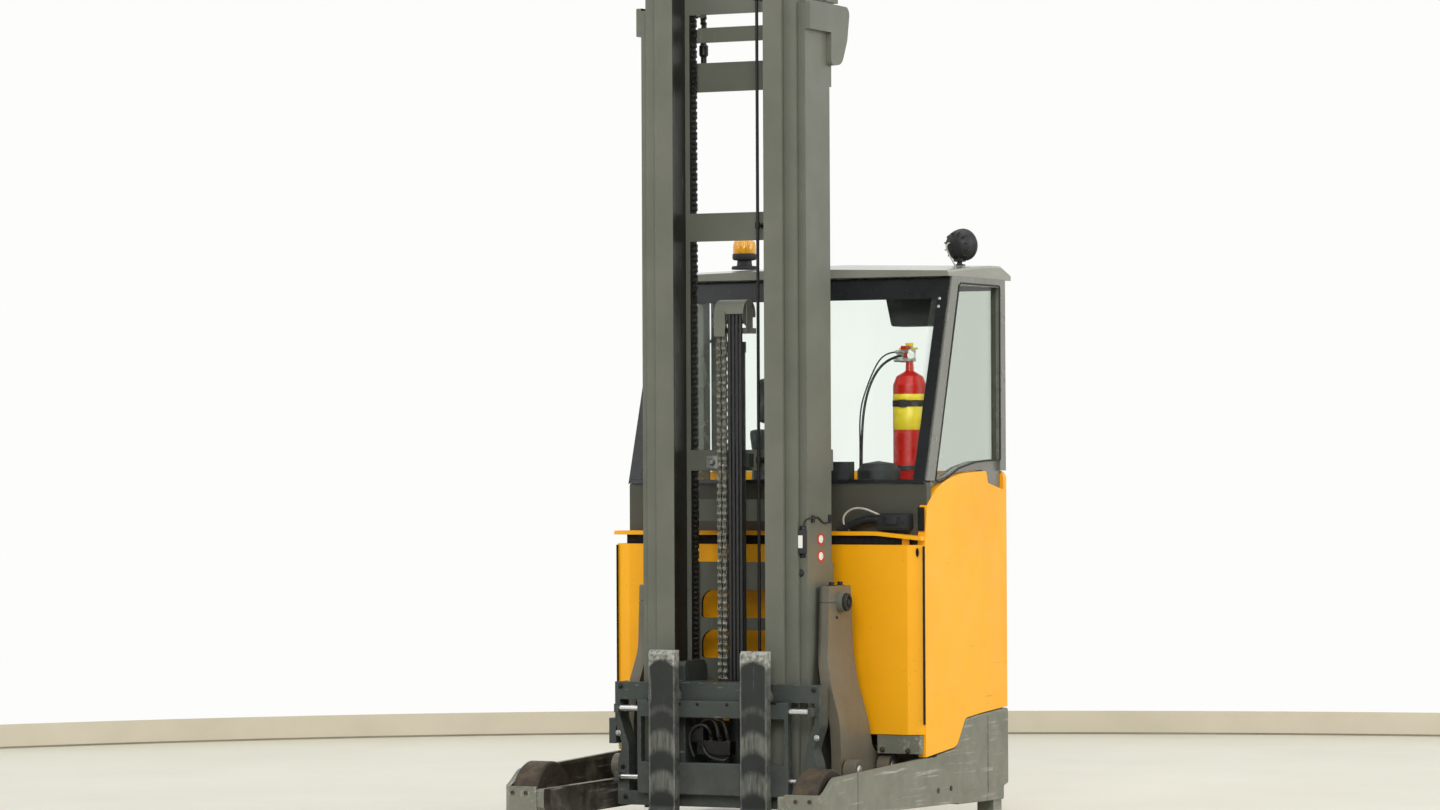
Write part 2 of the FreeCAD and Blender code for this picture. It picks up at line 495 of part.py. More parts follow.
def lift_cylinders():
    """The barrels of the two mast cylinders behind the outer stiles."""
    z0, z1 = MAST_FOOT_Z + 30, OUTER_TOP_Z - 260
    barrel = tube((LIFT_X, LIFT_Y, z0), (LIFT_X, LIFT_Y, z1), LIFT_R - 2, LIFT_ROD_R + 3)
    gland = tube((LIFT_X, LIFT_Y, z1), (LIFT_X, LIFT_Y, z1 + 40), LIFT_R, LIFT_ROD_R + FIT)
    return both_sides(fuse(barrel, gland))


def lift_rods():
    """The rods of the mast cylinders, which push the middle stage's yokes."""
    return both_sides(rod((LIFT_X, LIFT_Y, 200), (LIFT_X, LIFT_Y, OUTER_TOP_Z + 20), LIFT_ROD_R))


def mast_middle():
    """The middle stage: two I-section stiles, ties behind them, the rods' yokes and chain sheaves."""
    back = MIDDLE_Y + STAGE_DEPTH
    parts = both_sides(stile(MIDDLE_Y, MIDDLE_IN_X, MIDDLE_WEB_X, WEB, MIDDLE_EDGE_X, MIDDLE_IN_X,
                             OUTER_FACE_X - OUTER_WEB - CLEAR, MAST_FOOT_Z + 10, MIDDLE_TOP_Z))
    tie_x = MIDDLE_WEB_X + WEB
    for z0, z1 in ((2930, 2985), (2200, 2280), (1150, 1230), (MAST_FOOT_Z + 10, 190)):
        parts.append(box(-tie_x, back, z0, tie_x, back + TIE, z1))
    yoke = box(MIDDLE_IN_X, back, OUTER_TOP_Z + 20, OUTER_FACE_X, LIFT_Y + LIFT_R, OUTER_TOP_Z + 45)
    top = box(-MIDDLE_IN_X - 1, back, OUTER_TOP_Z + 20, MIDDLE_IN_X + 1, back + TIE, MIDDLE_TOP_Z)
    parts += both_sides(yoke)
    mast = fuse(*parts, top)
    slot = box(CHAIN_X - 13, back - 1, OUTER_TOP_Z - 60, CHAIN_X + 13, back + TIE + 1, MIDDLE_TOP_Z + 1)
    for cut in both_sides(slot):
        mast = mast.cut(cut)
    axle = rod((CHAIN_X - 26, CHAIN_Y + SHEAVE_R, SHEAVE_Z), (CHAIN_X + 26, CHAIN_Y + SHEAVE_R, SHEAVE_Z), 10)
    cheeks = [box(CHAIN_X + side * 20 - 5, back + TIE - 3, SHEAVE_Z - 22, CHAIN_X + side * 20 + 5,
                  CHAIN_Y + SHEAVE_R + 22, SHEAVE_Z + 22) for side in (-1, 1)]
    return fuse(mast, *both_sides(fuse(axle, *cheeks)))


def lift_sheaves():
    """The sheaves at the middle stage's top, over which the lift chains pass."""
    half = 12
    profile = [(-half, 10 + FIT), (-half, SHEAVE_R + 2), (-half + 2, SHEAVE_R + 2), (-half + 2, SHEAVE_R - 6),
               (half - 2, SHEAVE_R - 6), (half - 2, SHEAVE_R + 2), (half, SHEAVE_R + 2), (half, 10 + FIT)]
    return both_sides(turned_x(profile, CHAIN_X, CHAIN_Y + SHEAVE_R, SHEAVE_Z))


def lift_chains():
    """The chains from the sheaves down to the inner stage's foot."""
    run = box(CHAIN_X - CHAIN_WIDE / 2, CHAIN_Y - CHAIN_THICK / 2, MAST_FOOT_Z + 75,
              CHAIN_X + CHAIN_WIDE / 2, CHAIN_Y + CHAIN_THICK / 2, SHEAVE_Z)
    return both_sides(run)


def chain_anchor_runs():
    """The short chain runs from the outer stage's anchors up to the sheaves."""
    run = box(CHAIN_X - CHAIN_WIDE / 2, ANCHOR_Y - CHAIN_THICK / 2, ANCHOR_Z, CHAIN_X + CHAIN_WIDE / 2,
              ANCHOR_Y + CHAIN_THICK / 2, SHEAVE_Z)
    return both_sides(run)


FREE_R = 36.0
FREE_Y = INNER_Y + STAGE_DEPTH - FLANGE - FREE_R - 8    # axis of the free-lift cylinder
FREE_ROD_R = 22.0
FREE_TOP_Z = 1812.0
HEAD_Z = 1912.0                             # axis of the free-lift sheaves
HEAD_Y = FREE_Y - 31.0
HEAD_R = 42.0
FREE_CHAIN_X = -24.0
FREE_CHAIN_WIDE = 36.0
HOSE_X = 30.0
HOSE_PITCH = 15.0
HOSE_R = 6.5
HOOD_X0 = FREE_CHAIN_X - FREE_CHAIN_WIDE / 2 - 8
HOOD_X1 = HOSE_X + 2 * HOSE_PITCH + 8


def mast_inner():
    """The inner stage: two stiles, the ties flush with their rear flanges and the chain lugs."""
    back = INNER_Y + STAGE_DEPTH
    parts = both_sides(stile(INNER_Y, INNER_GAP_X, INNER_WEB_X, WEB, INNER_EDGE_X, REAR_GAP_X, INNER_EDGE_X,
                             MAST_FOOT_Z + 20, MAST_TOP_Z))
    for z0, z1 in ((3030, 3130), (2188, 2292), (1337, 1414), (MAST_FOOT_Z + 20, 250)):
        parts.append(box(-REAR_GAP_X - 1, back - FLANGE, z0, REAR_GAP_X + 1, back, z1))
    parts.append(box(-60, FREE_Y - 40, MAST_FOOT_Z + 20, 60, back - FLANGE, MAST_FOOT_Z + 45))
    parts += both_sides(box(CHAIN_X - 12, back, MAST_FOOT_Z + 30, CHAIN_X + 12, CHAIN_Y + 6, MAST_FOOT_Z + 75))
    return fuse(*parts)


def free_lift_cylinder():
    """The barrel of the free-lift cylinder, standing in the inner stage's foot."""
    z0 = MAST_FOOT_Z + 45
    barrel = tube((0, FREE_Y, z0), (0, FREE_Y, FREE_TOP_Z - 40), FREE_R - 3, FREE_ROD_R + 4)
    gland = tube((0, FREE_Y, FREE_TOP_Z - 40), (0, FREE_Y, FREE_TOP_Z), FREE_R, FREE_ROD_R + FIT)
    clamp = box(-48, FREE_Y, 1350, 48, INNER_Y + STAGE_DEPTH - FLANGE, 1400)
    clamp = clamp.cut(rod((0, FREE_Y, 1300), (0, FREE_Y, 1450), FREE_R - 4))
    return fuse(barrel, gland, clamp)


def free_lift_head():
    """The free-lift rod with its crosshead, which carries the chain and hose sheaves under a hood."""
    x0, x1 = HOOD_X0, HOOD_X1
    tongue_x = FREE_CHAIN_X + FREE_CHAIN_WIDE / 2 + 1
    bar = rod((0, FREE_Y, 240), (0, FREE_Y, HEAD_Z - 70), FREE_ROD_R)
    base = box(x0, HEAD_Y - 20, HEAD_Z - 70, x1, FREE_Y + 28, HEAD_Z - 50)
    cheeks = [box(x, HEAD_Y - 20, HEAD_Z - 70, x + 5, HEAD_Y + 30, HEAD_Z + 18) for x in (x0, x1 - 5)]
    axle = rod((x0, HEAD_Y, HEAD_Z), (x1, HEAD_Y, HEAD_Z), 11)
    hood = plate_x([(HEAD_Y - 54, HEAD_Z), (HEAD_Y - 54, HEAD_Z + 54, 53), (HEAD_Y + 54, HEAD_Z + 54, 53),
                    (HEAD_Y + 54, HEAD_Z - 10), (HEAD_Y + 51, HEAD_Z - 10), (HEAD_Y + 51, HEAD_Z + 51, 50),
                    (HEAD_Y - 51, HEAD_Z + 51, 50), (HEAD_Y - 51, HEAD_Z)], x0, x1)
    tongue = plate_y([(x0, HEAD_Z - 82, 4), (x0, HEAD_Z + 14, 12), (tongue_x, HEAD_Z + 14, 12),
                      (tongue_x, HEAD_Z - 82, 4)], HEAD_Y - 57, HEAD_Y - 53)
    stays = [box(x, HEAD_Y - 20, HEAD_Z, x + 5, HEAD_Y + 20, HEAD_Z + 51.5) for x in (x0, x1 - 5)]
    return fuse(bar, base, *cheeks, axle, hood, tongue, *stays)


def free_lift_sheaves():
    """The chain sheave and the wide hose sheave on the crosshead's axle."""
    def sheave(x, half):
        profile = [(-half, 11 + FIT), (-half, HEAD_R + 3), (-half + 2, HEAD_R + 3), (-half + 2, HEAD_R - 7),
                   (half - 2, HEAD_R - 7), (half - 2, HEAD_R + 3), (half, HEAD_R + 3), (half, 11 + FIT)]
        return turned_x(profile, x, HEAD_Y, HEAD_Z)
    return [sheave(FREE_CHAIN_X, FREE_CHAIN_WIDE / 2 + 2), sheave(HOSE_X, 2 * HOSE_PITCH + 1.5)]


def free_lift_chain():
    """The two strands of the chain's front run, from the sheave down to the fork carriage."""
    y = HEAD_Y - HEAD_R
    strand = (FREE_CHAIN_WIDE - 6) / 2
    lefts = (FREE_CHAIN_X - FREE_CHAIN_WIDE / 2, FREE_CHAIN_X + 3)
    return [box(x, y - 5, SHELF_Z, x + strand, y + 5, HEAD_Z) for x in lefts]


def mast_hoses():
    """The four hoses' front runs, from their sheave down to the fork carriage."""
    xs = [HOSE_X + HOSE_PITCH * (i - 1.5) for i in range(4)]
    return [rod((x, HEAD_Y - HEAD_R, SHELF_Z), (x, HEAD_Y - HEAD_R, HEAD_Z), HOSE_R) for x in xs]


# ---------------------------------------------------------------- fork carriage and forks
FRAME_Y = INNER_Y - CLEAR                   # back face of the carriage frame
FRAME = 27.0
SHIFTER_Y = FRAME_Y - FRAME - CLEAR         # back face of the side shifter's bars
FORK = 40.0
FORK_WIDTH = 105.0
FORK_X = 185.0
SHANK_TOP_Z = 684.0
CARRIAGE_HALF = 415.0
CARRIAGE_TOP_Z = 562.0
SHELF_Z = 566.0                             # the chain and the hoses end on this shelf
SHIFTER_HALF = 305.0
GUIDE_TOP_Z = 466.0                         # chrome guide rods of the side shifter
GUIDE_TOP_R = 12.0
GUIDE_LOW_Z = 215.0
GUIDE_LOW_R = 9.0
SPINE_X = 168.0                             # outer face of the spines inside the inner stage
ROLLER_R = (STAGE_DEPTH - 2 * FLANGE - 3 * PLAY) / 4


def fork_carriage():
    """The carriage: beams and curved side plates ahead of the mast, rollers in the inner stiles."""
    half = CARRIAGE_HALF
    top = box(-half, FRAME_Y - FRAME, CARRIAGE_TOP_Z - 65, half, FRAME_Y, CARRIAGE_TOP_Z)
    low = box(-half + 20, FRAME_Y - FRAME, 110, half - 20, FRAME_Y, 162)
    side = plate_y([(half - 20, CARRIAGE_TOP_Z), (half, CARRIAGE_TOP_Z, 10), (half, 415, 60), (half - 29, 328, 40),
                    (half - 10, 268, 60), (half - 10, 110, 10), (half - 56, 110), (half - 56, 330, 60),
                    (half - 20, 430, 60)], FRAME_Y - FRAME, FRAME_Y + 45)
    rear = INNER_Y + STAGE_DEPTH - FLANGE - 13
    spine = plate_x([(FRAME_Y - 2, 130), (FRAME_Y - 2, 640, 20), (rear, 640, 40), (rear, 130, 40)],
                    SPINE_X - 28, SPINE_X)
    shelf = box(-SPINE_X + 1, FRAME_Y - 2, SHELF_Z - 26, SPINE_X - 1, HEAD_Y - HEAD_R + 16, SHELF_Z)
    valve_box = box(-half - 25, FRAME_Y - FRAME, 334, -half + 3, FRAME_Y + 20, 427)
    parts = [top, low, shelf, valve_box] + both_sides(side) + both_sides(spine)
    rod_y = (FORK_FACE_Y + FORK + SHIFTER_Y) / 2
    for z, radius in ((GUIDE_TOP_Z, GUIDE_TOP_R), (GUIDE_LOW_Z, GUIDE_LOW_R)):
        parts.append(rod((-half + 20, rod_y, z), (half - 20, rod_y, z), radius))
        parts += both_sides(box(half - 32, rod_y - 16, z - 16, half - 14, FRAME_Y - FRAME + 1, z + 16))
    for z in (190, 580):
        for y in (INNER_Y + FLANGE + PLAY + ROLLER_R, INNER_Y + STAGE_DEPTH - FLANGE - PLAY - ROLLER_R):
            parts += both_sides(rod((SPINE_X - 1, y, z), (193, y, z), 20))
            parts += both_sides(rod((192, y, z), (INNER_WEB_X - 6, y, z), ROLLER_R))
    return fuse(*parts)


def side_shifter():
    """The side shifter: fork bars and end plates that slide across the carriage."""
    y0, y1 = FORK_FACE_Y + FORK, SHIFTER_Y
    top = plate_x([(y0, 437, 4), (y0, 499, 4), (y1, 499, 4), (y1, 437, 4)], -SHIFTER_HALF, SHIFTER_HALF)
    low = plate_x([(y0, 156, 4), (y0, 273, 4), (y1, 273, 4), (y1, 156, 4)], -SHIFTER_HALF, SHIFTER_HALF)
    ends = both_sides(box(SHIFTER_HALF - 15, y0, 160, SHIFTER_HALF, y1, 495))
    shifter = fuse(top, low, *ends)
    for z, radius in ((GUIDE_TOP_Z, GUIDE_TOP_R), (GUIDE_LOW_Z, GUIDE_LOW_R)):
        shifter = shifter.cut(rod((-500, (y0 + y1) / 2, z), (500, (y0 + y1) / 2, z), radius + FIT))
    return shifter


def fork():
    """A fork: upright shank, heel bend and tapered blade, with the hook over the top bar."""
    tip_y = FORK_FACE_Y - FORK_LENGTH
    x0, x1 = FORK_X - FORK_WIDTH / 2, FORK_X + FORK_WIDTH / 2
    side = plate_x([(tip_y, 62, 3), (tip_y, 74, 4), (tip_y + 500, 95), (FORK_FACE_Y, 95, 24),
                    (FORK_FACE_Y, SHANK_TOP_Z - 12, 6), (FORK_FACE_Y + 12, SHANK_TOP_Z, 4),
                    (FORK_FACE_Y + FORK, SHANK_TOP_Z, 6), (FORK_FACE_Y + FORK, 55, 60)], x0, x1)
    hook = plate_x([(FORK_FACE_Y + FORK - 1, 503), (FORK_FACE_Y + FORK + 22, 503), (FORK_FACE_Y + FORK + 22, 522, 6),
                    (FORK_FACE_Y + FORK - 1, 545)], x0, x1)
    tip = plate_z([(x0 + 26, tip_y, 20), (x1 - 26, tip_y, 20), (x1, tip_y + 130, 200),
                   (x1, FORK_FACE_Y + 100), (x0, FORK_FACE_Y + 100), (x0, tip_y + 130, 200)], 0, 800)
    return fuse(side, hook).common(tip)


# ---------------------------------------------------------------- battery and body panels
LID = 15.0
LID_TOP_Z = LID_Z + 47.0
PANEL = 6.0
COVER_DEPTH = 25.0                          # of the battery cover's chamfered sides
PANEL_FRONT_Y = BATTERY_FRONT_Y + COVER_DEPTH + SEAT
PANEL_THICK = 30.0


def battery():
    """The traction battery, one plain heavy block."""
    return box(-595, BATTERY_FRONT_Y + 24, DECK_Z + DECK, 595, CAB_FRONT_Y + 300, LID_Z - 25)


def battery_cover():
    """The cover over the battery's front, folded back at its sides over a chamfer."""
    back = BATTERY_FRONT_Y + COVER_DEPTH
    wide, flat = HALF_WIDTH - 3, HALF_WIDTH - 61
    front = plate_z([(-wide, back), (-wide, back - 4, 3), (-flat, BATTERY_FRONT_Y, 8), (flat, BATTERY_FRONT_Y, 8),
                     (wide, back - 4, 3), (wide, back)], DECK_Z - 10, LID_Z - 2)
    wide, flat = wide - PANEL, flat - 2
    inside = plate_z([(-wide, back + 1), (-wide, back - 1), (-flat, BATTERY_FRONT_Y + PANEL),
                      (flat, BATTERY_FRONT_Y + PANEL), (wide, back - 1), (wide, back + 1)], DECK_Z - 11, LID_Z)
    return front.cut(inside)


def battery_lid():
    """The lid over the battery: its right end droops, and a folded rim stands back under it."""
    end = HALF_WIDTH - 2
    lid = plate_y([(-end, LID_TOP_Z - LID), (-end, LID_TOP_Z, 6), (HALF_WIDTH - 185, LID_TOP_Z, 300),
                   (end, LID_TOP_Z - 18, 6), (end, LID_TOP_Z - 18 - LID), (HALF_WIDTH - 185, LID_TOP_Z - LID, 300)],
                  BATTERY_FRONT_Y - 8, CAB_FRONT_Y - SEAT)
    rim = box(-end + 40, BATTERY_FRONT_Y + 20, LID_Z - 4, end - 60, BATTERY_FRONT_Y + 26, LID_TOP_Z - LID - 8)
    rim = fuse(rim, box(-end + 40, BATTERY_FRONT_Y + 20, LID_TOP_Z - LID - 9, HALF_WIDTH - 200, BATTERY_FRONT_Y + 26,
                        LID_TOP_Z - 3))
    notch = box(HALF_WIDTH - PANEL_THICK - SEAT, PANEL_FRONT_Y - 1, LID_Z - 63, HALF_WIDTH + 1, CAB_FRONT_Y, LID_Z + 137)
    return fuse(lid, rim).cut(notch)


def side_panel_right():
    """The tall right side panel: an arched top edge with a step, and an S-shaped lower edge."""
    y = CAB_FRONT_Y
    corners = [(PANEL_FRONT_Y, FOOT_Z), (PANEL_FRONT_Y, LID_Z - 2), (y - 5, SILL_Z - 92, 30), (y + 87, SILL_Z - 27, 200),
               (y + 193, SILL_Z + 6, 400), (y + 327, SILL_Z + 26, 600), (y + 567, WAIST_Z, 8), (y + 584, SILL_Z - 13, 8),
               (PANEL_END_Y, SILL_Z - 41, 10), (PANEL_END_Y, FOOT_END_Z)] + lower_edge(0)[::-1]
    return plate_x(corners, HALF_WIDTH - PANEL_THICK, HALF_WIDTH)


def side_panel_left():
    """The left side panel: ahead of the door and along the sill below it."""
    y = CAB_FRONT_Y + 80
    corners = [(PANEL_FRONT_Y, FOOT_Z), (PANEL_FRONT_Y, LID_Z - 2), (y, LID_Z - 2), (y, DOOR_SILL_Z, 30),
               (PANEL_END_Y, DOOR_SILL_Z), (PANEL_END_Y, FOOT_END_Z)] + lower_edge(0)[::-1]
    return plate_x(corners, -HALF_WIDTH, -HALF_WIDTH + PANEL_THICK)


DOOR_HINGE_X = -HALF_WIDTH + 9.0
DOOR_HINGE_Y = REAR_Y - 46.0
DOOR_SILL_Z = DECK_Z + 98.0
REAR_HINGES_Z = (DECK_Z + 328, LID_Z + 87)             # hinges on the rear wall
POST_HINGE_Z = LID_Z + 787                       # hinge on the cab's rear post
KNUCKLE = 60.0
HINGE_PIN_R = 4.0


def hinge_leaf(z, x_end, y_end):
    """The fixed half of a door hinge: a lug below the knuckle, with the pin up through it."""
    lug = box(DOOR_HINGE_X - 7, DOOR_HINGE_Y - 6, z - 14, x_end, y_end, z - 1)
    pin = rod((DOOR_HINGE_X, DOOR_HINGE_Y, z - 14), (DOOR_HINGE_X, DOOR_HINGE_Y, z + KNUCKLE + 4), HINGE_PIN_R)
    return fuse(lug, pin)


def rear_cover():
    """The rear wall below the rear window, with two of the door's hinges."""
    wall_x = HALF_WIDTH - SIDE_WALL
    ledge_z = FOOT_END_Z
    wall = plate_y([(-wall_x, DECK_Z + DECK), (-wall_x, ledge_z), (-HALF_WIDTH + 2, ledge_z),
                    (-HALF_WIDTH + 2, WAIST_Z, 30), (HALF_WIDTH - 2, WAIST_Z, 30), (HALF_WIDTH - 2, ledge_z),
                    (wall_x, ledge_z), (wall_x, DECK_Z + DECK)], REAR_Y - 30, REAR_Y)
    side = box(-HALF_WIDTH, REAR_Y - 31, DECK_Z, -wall_x, REAR_Y + 1, FOOT_END_Z + 0.5)
    wall = wall.cut(side).cut(mirrored(side))
    return fuse(wall, *[hinge_leaf(z, DOOR_HINGE_X + 7, REAR_Y - 29) for z in REAR_HINGES_Z])


# ---------------------------------------------------------------- cab
CAB_RIGHT_X = HALF_WIDTH - 3.0
CAB_LEFT_X = -HALF_WIDTH + 39.0             # the door closes outside this side
POST = 40.0
SILL_Z = LID_Z + 234.0
A_TOP_Y = CAB_FRONT_Y + 255.0
B_POST_Y = REAR_Y - 57.0                    # front face of the rear posts
ROOF_Z = SILL_Z + 763.0
ROOF_HALF = HALF_WIDTH - 8.0
ROOF_CROWN = 16.0
WAIST_Z = SILL_Z + 33.0                            # top of the rear wall
A_FOOT = 79.0                               # depth of a front post at its foot
A_HEAD = 64.0                               # and under the roof
RAKE = (A_TOP_Y - CAB_FRONT_Y) / (ROOF_Z - SILL_Z)
ROOF_LINE = ((A_TOP_Y - 28, 21), (A_TOP_Y + 218, 41), (A_TOP_Y + 412, 53), (REAR_Y - 20, 54), (ROOF_REAR_Y, 26))


def roof_z(x, y):
    """Height of the roof's upper face at (x, y)."""
    for (y0, h0), (y1, h1) in zip(ROOF_LINE, ROOF_LINE[1:]):
        if y0 <= y <= y1:
            edge = h0 + (h1 - h0) * (y - y0) / (y1 - y0)
    return ROOF_Z + edge + ROOF_CROWN * (1 - abs(x) / ROOF_HALF)


def cab_front_wall():
    """The wall between the battery lid and the windscreen."""
    wall = plate_y([(CAB_LEFT_X, LID_Z - 5), (CAB_LEFT_X, SILL_Z, 20), (CAB_RIGHT_X, SILL_Z, 20),
                    (CAB_RIGHT_X, LID_Z - 5)], CAB_FRONT_Y, CAB_FRONT_Y + POST)
    return wall.cut(side_panel_right())


def window_foot(drop):
    """The curved lower edge of the right side window, as (y, z) corners, moved down by drop."""
    y = CAB_FRONT_Y
    return [(y + 173, SILL_Z + 8 - drop, 300), (y + 307, SILL_Z + 48 - drop, 600),
            (y + 470, SILL_Z + 71 - drop, 800)]


def cab_frame():
    """The raked front posts, the rear posts, the header rails and the right side's window sill."""
    def side(x):
        a_post = plate_x([(CAB_FRONT_Y, SILL_Z + 0.5), (A_TOP_Y, ROOF_Z), (A_TOP_Y + A_HEAD, ROOF_Z),
                          (CAB_FRONT_Y + A_FOOT, SILL_Z + 0.5)], x, x + POST)
        b_post = box(x, B_POST_Y, WAIST_Z + 0.5, x + POST, REAR_Y, ROOF_Z)
        rail = box(x, A_TOP_Y + 10, ROOF_Z - 30, x + POST, REAR_Y, ROOF_Z)
        return fuse(a_post, b_post, rail)
    y = CAB_FRONT_Y
    sill = plate_x([(y + 62, SILL_Z - 29), (y + 62, SILL_Z + 2)] + window_foot(SEAT) + [
                    (REAR_Y - 31, SILL_Z + 75 - SEAT), (REAR_Y - 31, SILL_Z - 35), (y + 586, SILL_Z - 9, 8),
                    (y + 569, SILL_Z + 36, 8), (y + 327, SILL_Z + 29, 600), (y + 193, SILL_Z + 9, 400),
                    (y + 100, SILL_Z - 19, 200)],
                   CAB_RIGHT_X - POST, CAB_RIGHT_X - POST + 26)
    header = box(CAB_LEFT_X, A_TOP_Y + 1, ROOF_Z - 30, CAB_RIGHT_X, A_TOP_Y + 50, ROOF_Z)
    tail = box(CAB_LEFT_X, REAR_Y - 40, ROOF_Z - 40, CAB_RIGHT_X, REAR_Y, ROOF_Z)
    hinge = hinge_leaf(POST_HINGE_Z, CAB_LEFT_X + 1, DOOR_HINGE_Y + 12)
    return fuse(side(CAB_LEFT_X), side(CAB_RIGHT_X - POST), sill, header, tail, hinge)


def cab_roof():
    """The crowned roof, rising towards the rear and rounded down behind the rear window."""
    sections = []
    for y, height in ROOF_LINE:
        edge = ROOF_Z + height
        corners = [(-ROOF_HALF, ROOF_Z), (-ROOF_HALF, edge - 8), (-ROOF_HALF + 8, edge), (0, edge + ROOF_CROWN),
                   (ROOF_HALF - 8, edge), (ROOF_HALF, edge - 8), (ROOF_HALF, ROOF_Z), (-ROOF_HALF, ROOF_Z)]
        sections.append(Part.makePolygon([Vector(x, y, z) for x, z in corners]))
    return Part.makeLoft(sections, True, True)


def cab_windows():
    """Windscreen over the front posts, right side window and rear window, as separate panes."""
    front = CAB_FRONT_Y - SEAT
    low, high = SILL_Z - 12, ROOF_Z - 1
    y0, y1 = front + (low - SILL_Z) * RAKE, front + (high - SILL_Z) * RAKE
    screen = plate_x([(y0 - 7, low), (y1 - 7, high), (y1, high), (y0, low)], CAB_LEFT_X, CAB_RIGHT_X - 7)
    post_rake = (A_TOP_Y + A_HEAD - CAB_FRONT_Y - A_FOOT) / (ROOF_Z - SILL_Z)
    foot_y, head_z = CAB_FRONT_Y + A_FOOT + 2, ROOF_Z - 30 - SEAT
    side = plate_x([(foot_y + 1, SILL_Z + 4), (foot_y + (head_z - SILL_Z) * post_rake, head_z),
                    (B_POST_Y - SEAT, head_z), (B_POST_Y - SEAT, SILL_Z + 75)] + window_foot(0)[::-1],
                   CAB_RIGHT_X - 22, CAB_RIGHT_X - 16)
    x0, x1 = CAB_LEFT_X + POST + SEAT, CAB_RIGHT_X - POST - SEAT
    rear = box(x0, REAR_Y - 22, WAIST_Z + 4, x1, REAR_Y - 16, ROOF_Z - 42)
    return [screen, side, rear]


FLOOR_Z = DECK_Z + 28.0                     # of the footwell
SEAT_Z = DECK_Z + 478.0                     # top of the plinth and the seat's post


def cab_floor():
    """The footwell floor, the plinth over the drive motor and the post under the seat."""
    y0, y1 = CAB_FRONT_Y + 310, REAR_Y - 32
    floor = box(CAB_LEFT_X, y0, FLOOR_Z, -149, y1, FLOOR_Z + 12)
    step = box(CAB_LEFT_X, y0, DECK_Z + DECK, CAB_LEFT_X + 10, y1, FLOOR_Z + 12)
    plinth = box(-150, y0, DECK_Z + DECK, 598, y1, SEAT_Z).cut(box(-140, y0 + 10, DECK_Z, 588, y1 - 10, SEAT_Z - 12))
    post = box(-400, y0 + 130, FLOOR_Z + 11, -149, y1 - 60, SEAT_Z)
    return [fuse(floor, step, plinth, post)]


def seat():
    """The driver's seat: its slide, cushion and high backrest."""
    y1 = REAR_Y - 45
    slide = box(-400, y1 - 250, SEAT_Z, -80, y1 - 60, SEAT_Z + 20 - SEAT)
    cushion = plate_z([(-455, y1 - 385, 60), (-455, y1 - 80, 30), (-55, y1 - 80, 30), (-55, y1 - 385, 60)], SEAT_Z + 20, SEAT_Z + 125)
    back = plate_y([(-433, SEAT_Z + 50, 40), (-433, SEAT_Z + 650, 200), (-400, SEAT_Z + 860, 75), (-106, SEAT_Z + 860, 75), (-73, SEAT_Z + 650, 200),
                    (-73, SEAT_Z + 50, 40)], y1 - 80 + SEAT, y1)
    return [slide, cushion, back]


def console_body():
    """The dash moulding behind the windscreen."""
    y = CAB_FRONT_Y + POST
    return plate_x([(y, LID_Z + 7), (y, SILL_Z - 7, 10), (y + 50, SILL_Z - 13, 30), (y + 110, SILL_Z - 117, 30), (y + 260, SILL_Z - 172, 20),
                    (y + 260, LID_Z + 7)], -560, 560)


def dash_console():
    """The console ahead of the driver, with its steering wheel, dome and box."""
    y = CAB_FRONT_Y
    dome = turned_z([(0, 0), (80, 0), (80, 95), (62, 120), (0, 130)], 386, y + 122, SILL_Z - 57)
    screen_box = box(170, y + 150, SILL_Z - 177, 256, y + 190, SILL_Z + 70)
    lift = Vector(0, 0.34, 0.94).normalize()
    centre = Vector(-250, y + 215, SILL_Z - 67)
    def along(a, b, radius):
        return Part.makeCylinder(radius, b - a, centre + lift * a, lift)
    wheel = along(-9, 9, 115).cut(along(-10, 10, 96))
    spoke = box(-350, y + 205, SILL_Z - 71, -150, y + 225, SILL_Z - 63)
    return fuse(console_body(), dome, screen_box, along(-130, 0, 22), wheel, along(-12, 14, 38), spoke)


def overhead_console():
    """The box under the roof's right side, narrower below."""
    return plate_y([(306, ROOF_Z - SEAT), (306, ROOF_Z - 64), (331, ROOF_Z - 182, 12), (480, ROOF_Z - 182, 12), (500, ROOF_Z - 64),
                    (500, ROOF_Z - SEAT)], A_TOP_Y + 117, A_TOP_Y + 207)


BOTTLE_X = 453.0
BOTTLE_Y = CAB_FRONT_Y + 262.0
BOTTLE_Z = SILL_Z + 38.0


def fire_extinguisher():
    """The extinguisher on the right of the dash: bottle, neck and valve on its bracket."""
    x, y, z = BOTTLE_X, BOTTLE_Y, BOTTLE_Z
    profile = [(0, 0), (56, 0), (63, 10), (63, 320), (50, 352), (16, 372), (14, 410), (22, 412), (22, 452), (0, 452)]
    bottle = turned_z(profile, x, y, z)
    lever = box(x - 10, y - 60, z + 452, x + 10, y + 10, z + 465)
    shelf = box(x - 64, y - 57, SILL_Z - 167, x + 64, y + 57, z + 1).cut(console_body())
    return fuse(bottle, lever, shelf)


def extinguisher_hoses():
    """The hose from the valve down to the dash."""
    x, y, z = BOTTLE_X, BOTTLE_Y, BOTTLE_Z
    points = [(x - 23, y, z + 430), (x - 95, y - 8, z + 425), (x - 172, y - 20, z + 300), (x - 190, y - 30, z + 90),
              (x - 182, y - 36, SILL_Z - 101)]
    return cord(points, 5)


def beacon():
    """The rotating beacon on the roof."""
    x, y = -345, CAB_FRONT_Y + 497
    return turned_z([(0, 0), (50, 0), (50, 12), (42, 18), (42, 92), (28, 112), (0, 116)],
                    x, y, roof_z(abs(x) - 20, y + 47) + SEAT)


